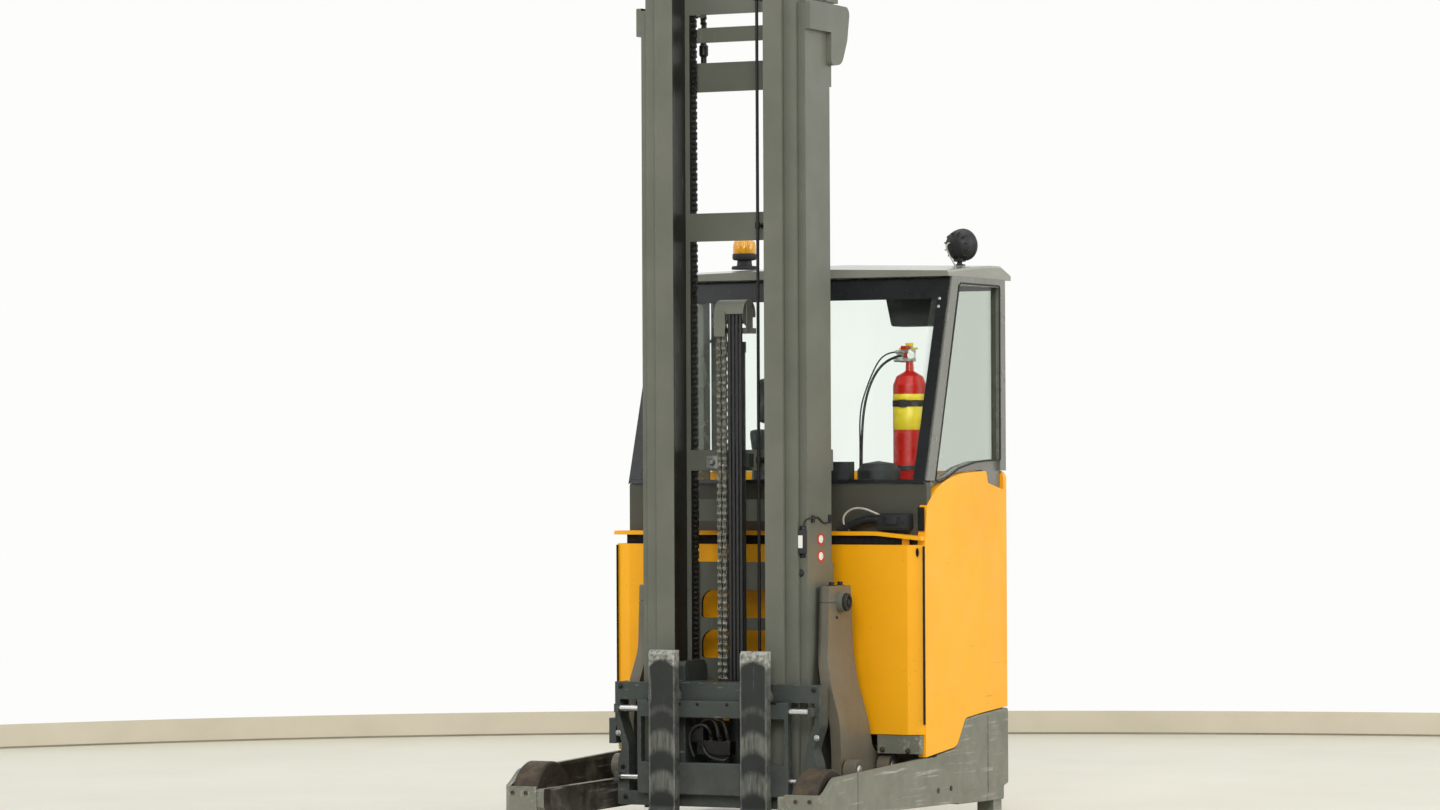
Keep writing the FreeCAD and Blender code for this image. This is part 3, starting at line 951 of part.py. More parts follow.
def work_lamp():
    """The round work lamp and its bracket at the roof's right side."""
    x, y = 517, CAB_FRONT_Y + 597
    z = roof_z(x - 16, y + 12) + SEAT
    bracket = box(x - 16, y - 12, z, x + 16, y + 12, z + 30)
    lamp = rod((x - 22, y - 20, z + 78), (x + 22, y + 20, z + 70), 62)
    return fuse(bracket, lamp)


def battery_connector():
    """The battery connector on the cab's front wall."""
    return plate_y([(450, LID_Z + 53, 8), (450, LID_Z + 115, 8), (578, LID_Z + 115, 8), (578, LID_Z + 53, 8)], CAB_FRONT_Y - 48, CAB_FRONT_Y)


# ---------------------------------------------------------------- door


def cab_door():
    """The cab door on the left, hinged at its rear edge, with its window cut out."""
    x0, x1 = DOOR_HINGE_X - 7, DOOR_HINGE_X + 25
    door = plate_x([(CAB_FRONT_Y + 85, DOOR_SILL_Z + CLEAR, 30), (CAB_FRONT_Y + 85, SILL_Z), (A_TOP_Y + 84, ROOF_Z - CLEAR, 20),
                    (DOOR_HINGE_Y - 12, ROOF_Z - CLEAR, 20), (DOOR_HINGE_Y - 12, DOOR_SILL_Z + CLEAR, 30)], x0, x1)
    window = plate_x([(CAB_FRONT_Y + 150, SILL_Z + 30, 30), (A_TOP_Y + 120, ROOF_Z - 70, 30),
                      (DOOR_HINGE_Y - 70, ROOF_Z - 70, 30), (DOOR_HINGE_Y - 70, SILL_Z + 30, 30)], x0 - 1, x1 + 1)
    door = door.cut(window)
    knuckles = []
    for z in REAR_HINGES_Z + (POST_HINGE_Z,):
        knuckles.append(rod((DOOR_HINGE_X, DOOR_HINGE_Y, z), (DOOR_HINGE_X, DOOR_HINGE_Y, z + KNUCKLE), 8))
        knuckles.append(box(DOOR_HINGE_X - 4, DOOR_HINGE_Y - 14, z, DOOR_HINGE_X + 4, DOOR_HINGE_Y, z + KNUCKLE))
    door = fuse(door, *knuckles)
    return door.cut(rod((DOOR_HINGE_X, DOOR_HINGE_Y, 0), (DOOR_HINGE_X, DOOR_HINGE_Y, 3000), HINGE_PIN_R + FIT))


def door_window():
    """The door's pane, held in the door's rebate."""
    x0 = -HALF_WIDTH + 12
    gap = SEAT
    return plate_x([(CAB_FRONT_Y + 150 + 2 * gap, SILL_Z + 30 + gap, 30), (A_TOP_Y + 120 + gap, ROOF_Z - 70 - gap, 30),
                    (DOOR_HINGE_Y - 70 - gap, ROOF_Z - 70 - gap, 30), (DOOR_HINGE_Y - 70 - gap, SILL_Z + 30 + gap, 30)],
                   x0, x0 + 6)


# ---------------------------------------------------------------- the whole truck
def build():
    """Build every node."""
    os.makedirs("parts", exist_ok=True)
    arm = wheel_arm()
    save("wheel_arm_right", arm)
    save("wheel_arm_left", mirrored(arm))
    wheel = load_wheel()
    save("load_wheel_right", wheel)
    save("load_wheel_left", mirrored(wheel))
    save("chassis_frame", chassis_frame())
    save("drive_unit", drive_unit())
    save("drive_wheel", drive_wheel())
    save("reach_cylinder", reach_cylinder())
    save("reach_carriage", reach_carriage(), *reach_rollers(), reach_rod())
    save("tilt_cylinders", *tilt_cylinders())
    save("tilt_rods", *tilt_rods())
    save("mast_outer", mast_outer(), *mast_shrouds())
    save("lift_cylinders", *lift_cylinders())
    save("chain_anchor_runs", *chain_anchor_runs())
    save("mast_middle", mast_middle(), *lift_sheaves())
    save("lift_rods", *lift_rods())
    save("lift_chains", *lift_chains())
    save("mast_inner", mast_inner())
    save("free_lift_cylinder", free_lift_cylinder())
    save("free_lift_head", free_lift_head(), *free_lift_sheaves())
    save("free_lift_chain", *free_lift_chain())
    save("mast_hoses", *mast_hoses())
    save("fork_carriage", fork_carriage())
    save("side_shifter", side_shifter())
    blade = fork()
    save("fork_right", blade)
    save("fork_left", mirrored(blade))
    save("battery", battery())
    save("battery_cover", battery_cover())
    save("battery_lid", battery_lid())
    save("side_panel_right", side_panel_right())
    save("side_panel_left", side_panel_left())
    save("rear_cover", rear_cover())
    save("cab_front_wall", cab_front_wall())
    save("cab_frame", cab_frame())
    save("cab_roof", cab_roof())
    save("cab_windows", *cab_windows())
    save("cab_floor", *cab_floor())
    save("seat", *seat())
    save("dash_console", dash_console(), overhead_console())
    save("fire_extinguisher", fire_extinguisher())
    save("extinguisher_hoses", extinguisher_hoses())
    save("beacon", beacon(), work_lamp())
    save("battery_connector", battery_connector())
    save("cab_door", cab_door())
    save("door_window", door_window())


build()
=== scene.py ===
"""Reach truck with a three-stage mast: its finishes, fittings, studio and camera."""
import math

import bmesh
import bpy
from mathutils import Matrix, Vector


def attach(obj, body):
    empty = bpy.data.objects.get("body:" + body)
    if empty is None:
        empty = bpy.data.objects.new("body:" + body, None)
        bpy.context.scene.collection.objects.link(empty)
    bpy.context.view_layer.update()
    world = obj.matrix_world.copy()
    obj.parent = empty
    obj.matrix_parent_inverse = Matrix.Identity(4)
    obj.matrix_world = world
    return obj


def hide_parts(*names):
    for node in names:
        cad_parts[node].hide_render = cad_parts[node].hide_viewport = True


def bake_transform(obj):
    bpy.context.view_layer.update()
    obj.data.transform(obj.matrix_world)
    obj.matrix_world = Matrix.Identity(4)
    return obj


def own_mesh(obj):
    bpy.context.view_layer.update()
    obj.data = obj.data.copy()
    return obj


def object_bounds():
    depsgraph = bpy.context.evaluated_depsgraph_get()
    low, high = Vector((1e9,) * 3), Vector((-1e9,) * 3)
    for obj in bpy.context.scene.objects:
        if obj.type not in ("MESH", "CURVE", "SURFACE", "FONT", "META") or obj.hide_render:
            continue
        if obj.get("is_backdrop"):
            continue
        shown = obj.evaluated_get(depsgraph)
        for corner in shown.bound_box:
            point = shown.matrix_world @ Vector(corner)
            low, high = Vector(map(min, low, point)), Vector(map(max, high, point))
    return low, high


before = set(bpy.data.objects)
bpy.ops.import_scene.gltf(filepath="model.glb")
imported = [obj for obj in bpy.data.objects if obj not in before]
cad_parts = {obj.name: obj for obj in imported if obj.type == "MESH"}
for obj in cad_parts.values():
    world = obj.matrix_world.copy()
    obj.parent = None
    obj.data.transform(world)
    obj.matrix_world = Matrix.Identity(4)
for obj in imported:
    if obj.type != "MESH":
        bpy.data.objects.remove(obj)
cad_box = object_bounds()
scene = bpy.context.scene

# ---------------------------------------------------------------- camera
EYE = Vector((7.22, -14.91, 1.41))
TURN = math.radians(25.847)
TILT = math.radians(0.582)
LEAN = 0.0045
LONG_LENS = 113.15


def set_camera():
    """A long lens from the front right, just above the height of the battery."""
    lens = bpy.data.cameras.new("studio_camera")
    lens.sensor_width = 36
    lens.lens = LONG_LENS
    lens.clip_end = 200
    camera = bpy.data.objects.new("studio_camera", lens)
    scene.collection.objects.link(camera)
    look = Vector((-math.sin(TURN) * math.cos(TILT), math.cos(TURN) * math.cos(TILT), math.sin(TILT)))
    camera.matrix_world = (
        Matrix.Translation(EYE)
        @ look.to_track_quat("-Z", "Y").to_matrix().to_4x4()
        @ Matrix.Rotation(-LEAN, 4, "Z")
    )
    scene.camera = camera


set_camera()


# ---------------------------------------------------------------- finishes
def linear(hex_colour):
    """An sRGB hex value as linear red, green, blue and alpha."""
    parts = [int(hex_colour[i : i + 2], 16) / 255 for i in (1, 3, 5)]
    return tuple(c / 12.92 if c <= 0.04045 else ((c + 0.055) / 1.055) ** 2.4 for c in parts) + (1.0,)


def add(finish, kind, inputs=None, **settings):
    """Adds a node to a finish, with its settings, values and links; a hex value is a colour."""
    made = finish.node_tree.nodes.new(kind)
    for name, value in settings.items():
        setattr(made, name, value)
    for name, value in (inputs or {}).items():
        if isinstance(value, bpy.types.NodeSocket):
            finish.node_tree.links.new(value, made.inputs[name])
        else:
            made.inputs[name].default_value = linear(value) if isinstance(value, str) else value
    return made


def start(name):
    """An empty finish and the true-size coordinates that its patterns use."""
    finish = bpy.data.materials.new(name)
    finish.use_nodes = True
    finish.node_tree.nodes.clear()
    place = add(finish, "ShaderNodeTexCoord").outputs["Object"]
    return finish, place


def cloud(finish, place, size, low, high, detail=4.0, stretch=(1, 1, 1)):
    """A soft mask from 0 to 1 whose patches are about size millimetres across."""
    spread = add(finish, "ShaderNodeMapping", {"Vector": place, "Scale": stretch}).outputs[0]
    noise = add(finish, "ShaderNodeTexNoise",
                {"Vector": spread, "Scale": 1000 / size, "Detail": detail, "Roughness": 0.6}).outputs[0]
    mask = add(finish, "ShaderNodeMapRange", {"Value": noise, "From Min": low, "From Max": high})
    return mask.outputs["Result"]


def zone(finish, place, axis, none, full, mirrored=False):
    """A mask that grows from none to full along an axis; mirrored measures out from the truck's middle."""
    along = add(finish, "ShaderNodeSeparateXYZ", {0: place}).outputs[axis]
    if mirrored:
        along = add(finish, "ShaderNodeMath", {0: along}, operation="ABSOLUTE").outputs[0]
    mask = add(finish, "ShaderNodeMapRange", {"Value": along, "From Min": none, "From Max": full})
    return mask.outputs["Result"]


def inner_faces(finish, place, none, full):
    """A mask on the faces that look at the truck's middle, stronger the farther out they stand."""
    normal = add(finish, "ShaderNodeTexCoord").outputs["Normal"]
    facing = add(finish, "ShaderNodeSeparateXYZ", {0: normal}).outputs["X"]
    side = add(finish, "ShaderNodeSeparateXYZ", {0: place}).outputs["X"]
    inward = add(finish, "ShaderNodeMath", {0: facing, 1: side}, operation="MULTIPLY").outputs[0]
    mask = add(finish, "ShaderNodeMapRange", {"Value": inward, "From Min": none, "From Max": full})
    return mask.outputs["Result"]


def laid_over(finish, body, colour, *masks):
    """A colour laid over the body, as thickly as all its masks allow together."""
    cover = masks[0]
    for mask in masks[1:]:
        thinned = add(finish, "ShaderNodeMath", {0: cover, 1: mask}, operation="MULTIPLY", use_clamp=True)
        cover = thinned.outputs[0]
    return add(finish, "ShaderNodeMix", {0: cover, 6: body, 7: colour}, data_type="RGBA").outputs[2]


def worn_edges(finish, radius, chips):
    """1 on outer edges, broken into chips of that many millimetres, and the rounded normal."""
    rounded = add(finish, "ShaderNodeBevel", {"Radius": radius * 0.001}, samples=4).outputs[0]
    flat = add(finish, "ShaderNodeNewGeometry").outputs["Normal"]
    facing = add(finish, "ShaderNodeVectorMath", {0: rounded, 1: flat},
                 operation="DOT_PRODUCT").outputs["Value"]
    turned_away = add(finish, "ShaderNodeMapRange", {"Value": facing, "From Min": 0.985, "From Max": 0.86})
    place = add(finish, "ShaderNodeTexCoord").outputs["Object"]
    broken = cloud(finish, place, chips, 0.47, 0.6)
    edges = add(finish, "ShaderNodeMath", {0: turned_away.outputs["Result"], 1: broken},
                operation="MULTIPLY", use_clamp=True)
    return edges.outputs[0], rounded


def coat_of(
    name, colour, shade, rough=0.45, metal=0.0, ior=1.5, clear=0.0,
    mottle=260, grain=2.5, depth=0.12, edge=3.0,
    chipped="#8d8c88", chips=30, worn=0.0,
    scratched=None, scratch=0.0, along=(1, 0.06, 1),
    dusty="#8b8578", dust=0.0, dust_top=0.4, tint=None,
):
    """A hard surface: mottled colour, grain in the relief, chipped edges, scratches and low dust."""
    finish, place = start(name)
    body = laid_over(finish, colour, shade, cloud(finish, place, mottle, 0.38, 0.66, 5))
    if tint:
        body = tint(finish, place, body)
    edges, rounded = worn_edges(finish, edge, chips)
    if scratch:
        lines = cloud(finish, place, 14, 0.7 - 0.1 * scratch, 0.74, 3, along)
        regions = cloud(finish, place, 180, 0.45, 0.62)
        body = laid_over(finish, body, scratched, lines, regions)
    if worn:
        body = laid_over(finish, body, chipped, edges, worn)
    # Dust laid low down; on the reach carriage this brown layer is a painted reflection of the amber cover.
    if dust:
        low = zone(finish, place, "Z", dust_top, 0.0)
        body = laid_over(finish, body, dusty, low, dust, cloud(finish, place, 90, 0.3, 0.7))
    polish = add(finish, "ShaderNodeMapRange",
                 {"Value": cloud(finish, place, mottle * 0.3, 0.3, 0.7),
                  "To Min": rough * 0.85, "To Max": min(1.0, rough * 1.2)})
    fine = add(finish, "ShaderNodeTexNoise", {"Vector": place, "Scale": 1000 / grain, "Detail": 2.0})
    relief = add(finish, "ShaderNodeBump",
                 {"Height": fine.outputs[0], "Normal": rounded, "Strength": depth, "Distance": grain * 0.0004})
    shader = add(finish, "ShaderNodeBsdfPrincipled",
                 {"Base Color": body, "Roughness": polish.outputs["Result"], "Metallic": metal,
                  "Normal": relief.outputs[0], "IOR": ior, "Coat Weight": clear, "Coat Roughness": 0.12})
    add(finish, "ShaderNodeOutputMaterial", {"Surface": shader.outputs[0]})
    return finish


FORK_CENTRE = 0.185
BAND_WAVES = 43.0  # a rubbed band every 146 mm up the shank


def fork_bands(finish, place, body):
    """Bright rubbed bands across a painted fork shank, and a bare top, where loads slide on it."""
    axes = add(finish, "ShaderNodeSeparateXYZ", {0: place}).outputs
    outward = add(finish, "ShaderNodeMath", {0: axes["X"]}, operation="ABSOLUTE").outputs[0]
    side = add(finish, "ShaderNodeMath", {0: outward, 1: FORK_CENTRE}, operation="SUBTRACT").outputs[0]
    bow = add(finish, "ShaderNodeMath", {0: side, 1: 2.0}, operation="POWER").outputs[0]
    bowed = add(finish, "ShaderNodeMath", {0: bow, 1: 9.0, 2: axes["Z"]}, operation="MULTIPLY_ADD").outputs[0]
    ragged = add(finish, "ShaderNodeTexNoise", {"Vector": place, "Scale": 60.0, "Detail": 3.0}).outputs[0]
    level = add(finish, "ShaderNodeMath", {0: ragged, 1: 0.018, 2: bowed}, operation="MULTIPLY_ADD").outputs[0]
    wave = add(finish, "ShaderNodeMath", {0: level, 1: BAND_WAVES, 2: -1.56},
               operation="MULTIPLY_ADD").outputs[0]
    wave = add(finish, "ShaderNodeMath", {0: wave}, operation="SINE").outputs[0]
    bands, below, top = (
        add(finish, "ShaderNodeMapRange",
            {"Value": value, "From Min": none, "From Max": full}).outputs["Result"]
        for value, none, full in ((wave, -0.45, 0.6), (level, 0.5, 0.46), (level, 0.652, 0.668))
    )
    blade = zone(finish, place, "Y", -0.16, -0.3)
    rubbed = bands
    for other, how in ((below, "MULTIPLY"), (top, "MAXIMUM")):
        rubbed = add(finish, "ShaderNodeMath", {0: rubbed, 1: other}, operation=how, use_clamp=True).outputs[0]
    thin = add(finish, "ShaderNodeMath", {0: blade, 1: 0.75}, operation="MULTIPLY", use_clamp=True).outputs[0]
    rubbed = add(finish, "ShaderNodeMath", {0: rubbed, 1: thin}, operation="MAXIMUM", use_clamp=True).outputs[0]
    streaks = cloud(finish, place, 10, 0.2, 0.75, 4, (1, 1, 0.12))
    banded = laid_over(finish, body, "#85867c", rubbed, 0.8, streaks)
    # Lighter rims along both side edges of the shank: partly edge wear, partly a painted highlight.
    offset = add(finish, "ShaderNodeMath", {0: side}, operation="ABSOLUTE").outputs[0]
    rim = add(finish, "ShaderNodeMapRange", {"Value": offset, "From Min": 0.045, "From Max": 0.0495})
    banded = laid_over(finish, banded, "#8d8e85", rim.outputs["Result"], 0.45,
                       cloud(finish, place, 25, 0.2, 0.6))
    return laid_over(finish, banded, "#b9b8ae", top, cloud(finish, place, 16, 0.34, 0.7, 5))


def channel_grease_and_shade(finish, place, body):
    """Black on the faces that look inward: old grease, and painted shade between the mast stages; darker low
    between the rails behind, painted shade too.
    """
    # Painted shade: inward faces blackened where the stages shade each other.
    greased = laid_over(finish, body, "#0d0c0a", inner_faces(finish, place, -0.02, -0.06), 0.9)
    rear = zone(finish, place, "Y", 0.24, 0.26)
    low = zone(finish, place, "Z", 1.25, 1.1)
    within = zone(finish, place, "X", 0.25, 0.24, mirrored=True)
    return laid_over(finish, greased, "#25261f", rear, low, within, 0.8)


def carriage_middle_shade(finish, place, body):
    """Painted shade: black on the reach carriage's middle, where the arms and the cover keep it in shadow."""
    return laid_over(finish, body, "#23221d", zone(finish, place, "X", 0.362, 0.35, mirrored=True), 0.85)


def arm_inward_brown(finish, place, body):
    """Dark rust-brown on the arms' inward faces, low down and in patches."""
    inward_brown_mix = laid_over(finish, "#120b05", "#2e1a0b", cloud(finish, place, 35, 0.4, 0.65))
    inward = inner_faces(finish, place, -0.1, -0.3)
    low = zone(finish, place, "Z", 0.29, 0.25)
    return laid_over(finish, body, inward_brown_mix, inward, low, cloud(finish, place, 110, 0.2, 0.5))


WHEEL_CENTRE = 0.555


def mud_ring(finish, place, body):
    """A brown rolled tyre: paler where it meets the floor, darker on its sides."""
    width = add(finish, "ShaderNodeSeparateXYZ", {0: place}).outputs["X"]
    width = add(finish, "ShaderNodeMath", {0: width}, operation="ABSOLUTE").outputs[0]
    middle = add(finish, "ShaderNodeMath", {0: width, 1: WHEEL_CENTRE}, operation="SUBTRACT").outputs[0]
    middle = add(finish, "ShaderNodeMath", {0: middle}, operation="ABSOLUTE").outputs[0]
    tread = add(finish, "ShaderNodeMapRange", {"Value": middle, "From Min": 0.05, "From Max": 0.03})
    return laid_over(finish, body, "#4f4029", tread.outputs["Result"], cloud(finish, place, 40, 0.3, 0.7))


# Two-pack enamel sprayed on steel sheet: a deep warm yellow with a wet gloss and a slight orange peel.
amber_enamel = coat_of("amber_enamel", "#feb204", "#f9a902", rough=0.42, ior=1.42, mottle=420, grain=5,
                       depth=0.05,
                       chipped="#6b4a22", chips=40, worn=0.3, scratched="#d08a14", scratch=0.25, clear=0.06)
# The same enamel in warm grey on heavy rolled steel: satin, dusty, chipped on its corners, with grease and
# painted shade on the faces that look inward.
mast_enamel = coat_of("mast_enamel", "#6c6d62", "#63655a", ior=1.35, rough=0.36, mottle=300, chipped="#8d8a84",
                      worn=0.35,
                      scratched="#7d7b76", scratch=0.3, along=(1, 1, 0.05), dusty="#6e6a5f", dust=0.3,
                      dust_top=0.6, tint=channel_grease_and_shade)
# The same enamel on the reach carriage, warmed with brown low on its tall side plates: a painted reflection of
# the amber cover.
carriage_enamel_and_bounce = coat_of("carriage_enamel_and_bounce", "#6b675a", "#625d50", rough=0.4, mottle=220, chipped="#8d8a84",
                          worn=0.4,
                          scratched="#7d7b76", scratch=0.3, along=(1, 1, 0.05), dusty="#75664b", dust=0.55,
                          dust_top=0.9,
                          tint=carriage_middle_shade)
# Grey enamel on the low castings that meet pallets and kerbs: scraped along their length and dusty.
arm_enamel = coat_of("arm_enamel", "#77786a", "#6a6c5d", rough=0.45, mottle=160, chipped="#a9a69d", chips=22,
                     worn=1.0,
                     scratched="#c4c2ba", scratch=1.5, along=(1, 0.05, 1), dusty="#8f8a7e", dust=0.45,
                     dust_top=0.35, tint=arm_inward_brown)
# Grey enamel on folded cab panels: clean, with a soft gloss.
cab_enamel = coat_of("cab_enamel", "#72736a", "#6a6b62", rough=0.26, mottle=380, chipped="#8f8c86", worn=0.2)
# The same paint on the lower front wall, made darker as painted shade.
shaded_wall_enamel = coat_of("shaded_wall_enamel", "#4b4b40", "#434339", rough=0.48, mottle=240, chipped="#7f7c74", worn=0.15)
# Moulded polyester roof: a shade lighter and glossier than the pressed panels.
roof_shell = coat_of("roof_shell", "#8b8b80", "#828277", rough=0.18, mottle=300, grain=3, depth=0.2)
# Dark green-grey enamel on the fork carriage: dull, with bare corners.
anthracite = coat_of("anthracite_enamel", "#3c423d", "#353a36", rough=0.5, mottle=120, chipped="#8e9290",
                     chips=20,
                     worn=0.75, scratched="#80858a", scratch=0.5, along=(0.2, 1, 1), dusty="#77736a", dust=0.4)
# Black enamel on forged forks, rubbed through to dull steel in bands.
fork_steel = coat_of("fork_enamel", "#252825", "#20231f", rough=0.48, mottle=60, chipped="#c4c2bc", chips=60,
                     worn=1.0,
                     scratched="#8d9091", scratch=0.5, along=(1, 1, 0.05), tint=fork_bands)
# Ground and hard-chromed rod: bright, with a faint film of oil.
chrome = coat_of("chromed_rod", "#f2f2f0", "#e6e6e4", rough=0.24, metal=1.0, mottle=90, grain=1, depth=0.02)
# Zinc-plated fasteners: pale and slightly milky.
zinc = coat_of("zinc_plate", "#c4c4bf", "#adada6", rough=0.42, metal=0.8, mottle=12, grain=1, depth=0.05)
# Greased chain plates: dark, and paler where the grease has caught dust.
chain_steel = coat_of("greased_chain", "#8b8c80", "#45463d", rough=0.36, metal=0.6, mottle=14, grain=2,
                      depth=0.2,
                      chipped="#bdb9b0", chips=8, worn=0.9)
# The long lift chains, black with oil all over.
oiled_chain = coat_of("oiled_chain", "#24231e", "#121210", rough=0.4, metal=0.4, mottle=14, grain=2, depth=0.2,
                      chipped="#6f6d66", chips=8, worn=0.5)
# Grey iron casting under a dull skin of brown rust.
cast_iron = coat_of("rusty_casting", "#2c2722", "#4a3524", rough=0.72, mottle=45, grain=2, depth=0.5,
                    chipped="#7d746a", worn=0.4, dusty="#7d6f62", dust=0.5)
# Phosphated and oiled valve block: almost black, with a thin greasy gloss.
oiled_steel = coat_of("oiled_steel", "#111110", "#191815", rough=0.38, metal=0.3, mottle=35, grain=2, depth=0.2,
                      chipped="#6e6b64", worn=0.5)
# Steel tray of the lead-acid battery: dull dark grey.
tray_steel = coat_of("battery_tray", "#22231e", "#2b2b25", rough=0.6, mottle=70, worn=0.4)
# Solid rubber tyre: near black, brown where it picks up floor dust.
tyre_rubber = coat_of("tyre_rubber", "#211c17", "#2a231b", rough=0.85, mottle=60, grain=3, depth=0.4,
                      dusty="#4f4130",
                      dust=0.45)
# Cast polyurethane roller tyre: dark brown and dusty, dull from rolling.
urethane = coat_of("urethane_tyre", "#241b10", "#2c2115", rough=0.62, mottle=40, grain=3, depth=0.25,
                   chipped="#6b4a2e",
                   worn=0.5, dusty="#44372a", dust=0.3, dust_top=0.3, tint=mud_ring)
# Fine-textured moulded ABS: a soft black with a leather-like grain.
black_abs = coat_of("black_abs", "#1b1c1d", "#232425", rough=0.55, mottle=120, grain=2.2, depth=0.35, edge=2)
# Extruded EPDM: a dry black with a slight bloom.
black_rubber = coat_of("black_rubber", "#191919", "#242322", rough=0.66, mottle=30, grain=1.6, depth=0.2,
                       edge=1)
# Painted shade for the unlit space behind the gaps between panels: a dry, flat black.
gap_shade_black = coat_of("gap_shade_black", "#070706", "#0b0a09", rough=0.9, mottle=60, grain=2, depth=0.1, edge=1)
# Rubber hose cover: black, a little glossy where it is oiled.
hose_cover = coat_of("hose_cover", "#1a1b1c", "#262626", rough=0.42, mottle=18, grain=1.6, depth=0.3, edge=1)
# Grey sheathed cable: soft matt vinyl.
grey_sheath = coat_of("grey_sheath", "#bdb9ae", "#aaa69a", rough=0.45, mottle=25, grain=1.5, depth=0.15, edge=1)
# Powder coat on a pressed bottle: strong red and glossy.
red_gloss = coat_of("red_powder_coat", "#b80f04", "#ad0d04", rough=0.28, mottle=400, grain=3, depth=0.06,
                    clear=0.3)
# Vinyl sleeves and a painted lever in plain yellow.
yellow_vinyl = coat_of("yellow_vinyl", "#dcc21e", "#d3b51a", rough=0.42, mottle=60, grain=1.5, depth=0.08,
                       edge=1)
# Plain white vinyl stickers.
white_vinyl = coat_of("white_vinyl", "#e9e8e3", "#dfddd6", rough=0.45, mottle=20, grain=1.2, depth=0.06, edge=1)
# Red ring printed on a sticker.
red_vinyl = coat_of("red_vinyl", "#c23a2c", "#b83225", rough=0.45, mottle=15, grain=1.2, depth=0.06, edge=1)
# Black bands at the screen's edges: partly a baked ceramic border, partly painted shade of the pillars and
# header behind, with the gloss of the glass over them.
black_border_and_shade = coat_of("black_border_and_shade", "#101214", "#15181a", rough=0.3, mottle=80, grain=2, depth=0.04, edge=1)


def safety_glass():
    """Toughened float glass: clear, darker at the side window, with a soft reflection and a trace of dust."""
    finish, place = start("safety_glass")
    film = cloud(finish, place, 240, 0.35, 0.7)
    haze = add(finish, "ShaderNodeMapRange", {"Value": film, "To Min": 0.0, "To Max": 0.05})
    tint = laid_over(finish, "#f8fcf9", "#c3c8c0", zone(finish, place, "X", 0.56, 0.6))
    glass = add(finish, "ShaderNodeBsdfPrincipled",
                {"Base Color": tint, "Roughness": haze.outputs["Result"], "IOR": 1.2,
                 "Transmission Weight": 1.0})
    clear = add(finish, "ShaderNodeBsdfTransparent", {"Color": "#e3ebe8"})
    shadow = add(finish, "ShaderNodeLightPath").outputs["Is Shadow Ray"]
    through = add(finish, "ShaderNodeMixShader", {0: shadow, 1: glass.outputs[0], 2: clear.outputs[0]})
    add(finish, "ShaderNodeOutputMaterial", {"Surface": through.outputs[0]})
    return finish


def amber_moulding():
    """Moulded acrylic lens: orange all through, with a gloss over its flutes."""
    finish, place = start("amber_acrylic")
    colour = laid_over(finish, "#ffbe14", "#f9a608", cloud(finish, place, 12, 0.3, 0.7, 2, (1, 1, 0.2)))
    shader = add(finish, "ShaderNodeBsdfPrincipled",
                 {"Base Color": colour, "Roughness": 0.12, "IOR": 1.49, "Transmission Weight": 0.3,
                  "Coat Weight": 0.3})
    add(finish, "ShaderNodeOutputMaterial", {"Surface": shader.outputs[0]})
    return finish


THREADS = 52.0  # bands 6 mm apart, coarser than the real cloth's so that they show


def seat_cloth():
    """Woven polyester over foam: charcoal, with a square weave and a soft sheen."""
    finish, place = start("seat_cloth")
    across, up = (
        add(finish, "ShaderNodeTexWave", {"Vector": place, "Scale": THREADS, "Distortion": 0.6},
            bands_direction=axis).outputs[1]
        for axis in "XZ"
    )
    weave = add(finish, "ShaderNodeMath", {0: across, 1: up}, operation="MULTIPLY").outputs[0]
    faded = laid_over(finish, "#26282b", "#323437", cloud(finish, place, 140, 0.35, 0.7))
    colour = laid_over(finish, faded, "#45484c", weave)
    relief = add(finish, "ShaderNodeBump", {"Height": weave, "Strength": 0.35, "Distance": 0.001})
    shader = add(finish, "ShaderNodeBsdfPrincipled",
                 {"Base Color": colour, "Roughness": 0.9, "Sheen Weight": 0.25, "Sheen Roughness": 0.5,
                  "Normal": relief.outputs[0]})
    add(finish, "ShaderNodeOutputMaterial", {"Surface": shader.outputs[0]})
    return finish


glass = safety_glass()
amber_lens = amber_moulding()
cloth = seat_cloth()

NODE_FINISH = {
    amber_enamel: "battery_cover battery_lid rear_cover side_panel_left side_panel_right",
    mast_enamel: "mast_inner mast_middle mast_outer free_lift_head",
    carriage_enamel_and_bounce: "reach_carriage",
    arm_enamel: "wheel_arm_left wheel_arm_right chassis_frame",
    cab_enamel: "cab_frame cab_door",
    shaded_wall_enamel: "cab_front_wall",
    roof_shell: "cab_roof",
    anthracite: "fork_carriage side_shifter lift_cylinders reach_cylinder tilt_cylinders free_lift_cylinder",
    fork_steel: "fork_left fork_right",
    chrome: "lift_rods tilt_rods",
    zinc: "chain_anchor_runs",
    chain_steel: "free_lift_chain",
    oiled_chain: "lift_chains",
    cast_iron: "drive_unit",
    tray_steel: "battery",
    tyre_rubber: "drive_wheel",
    urethane: "load_wheel_left load_wheel_right",
    black_abs: "battery_connector beacon cab_floor dash_console",
    black_rubber: "mast_hoses",
    hose_cover: "extinguisher_hoses",
    red_gloss: "fire_extinguisher",
    glass: "cab_windows door_window",
    cloth: "seat",
}
for finish, names in NODE_FINISH.items():
    for name in names.split():
        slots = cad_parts[name].data.materials
        for index in range(len(slots)):
            slots[index] = finish


# ---------------------------------------------------------------- making pieces
def placed(name, shape):
    """A finished shape as an object of its own in the scene."""
    mesh = bpy.data.meshes.new(name)
    shape.to_mesh(mesh)
    shape.free()
    piece = bpy.data.objects.new(name, mesh)
    scene.collection.objects.link(piece)
    return piece


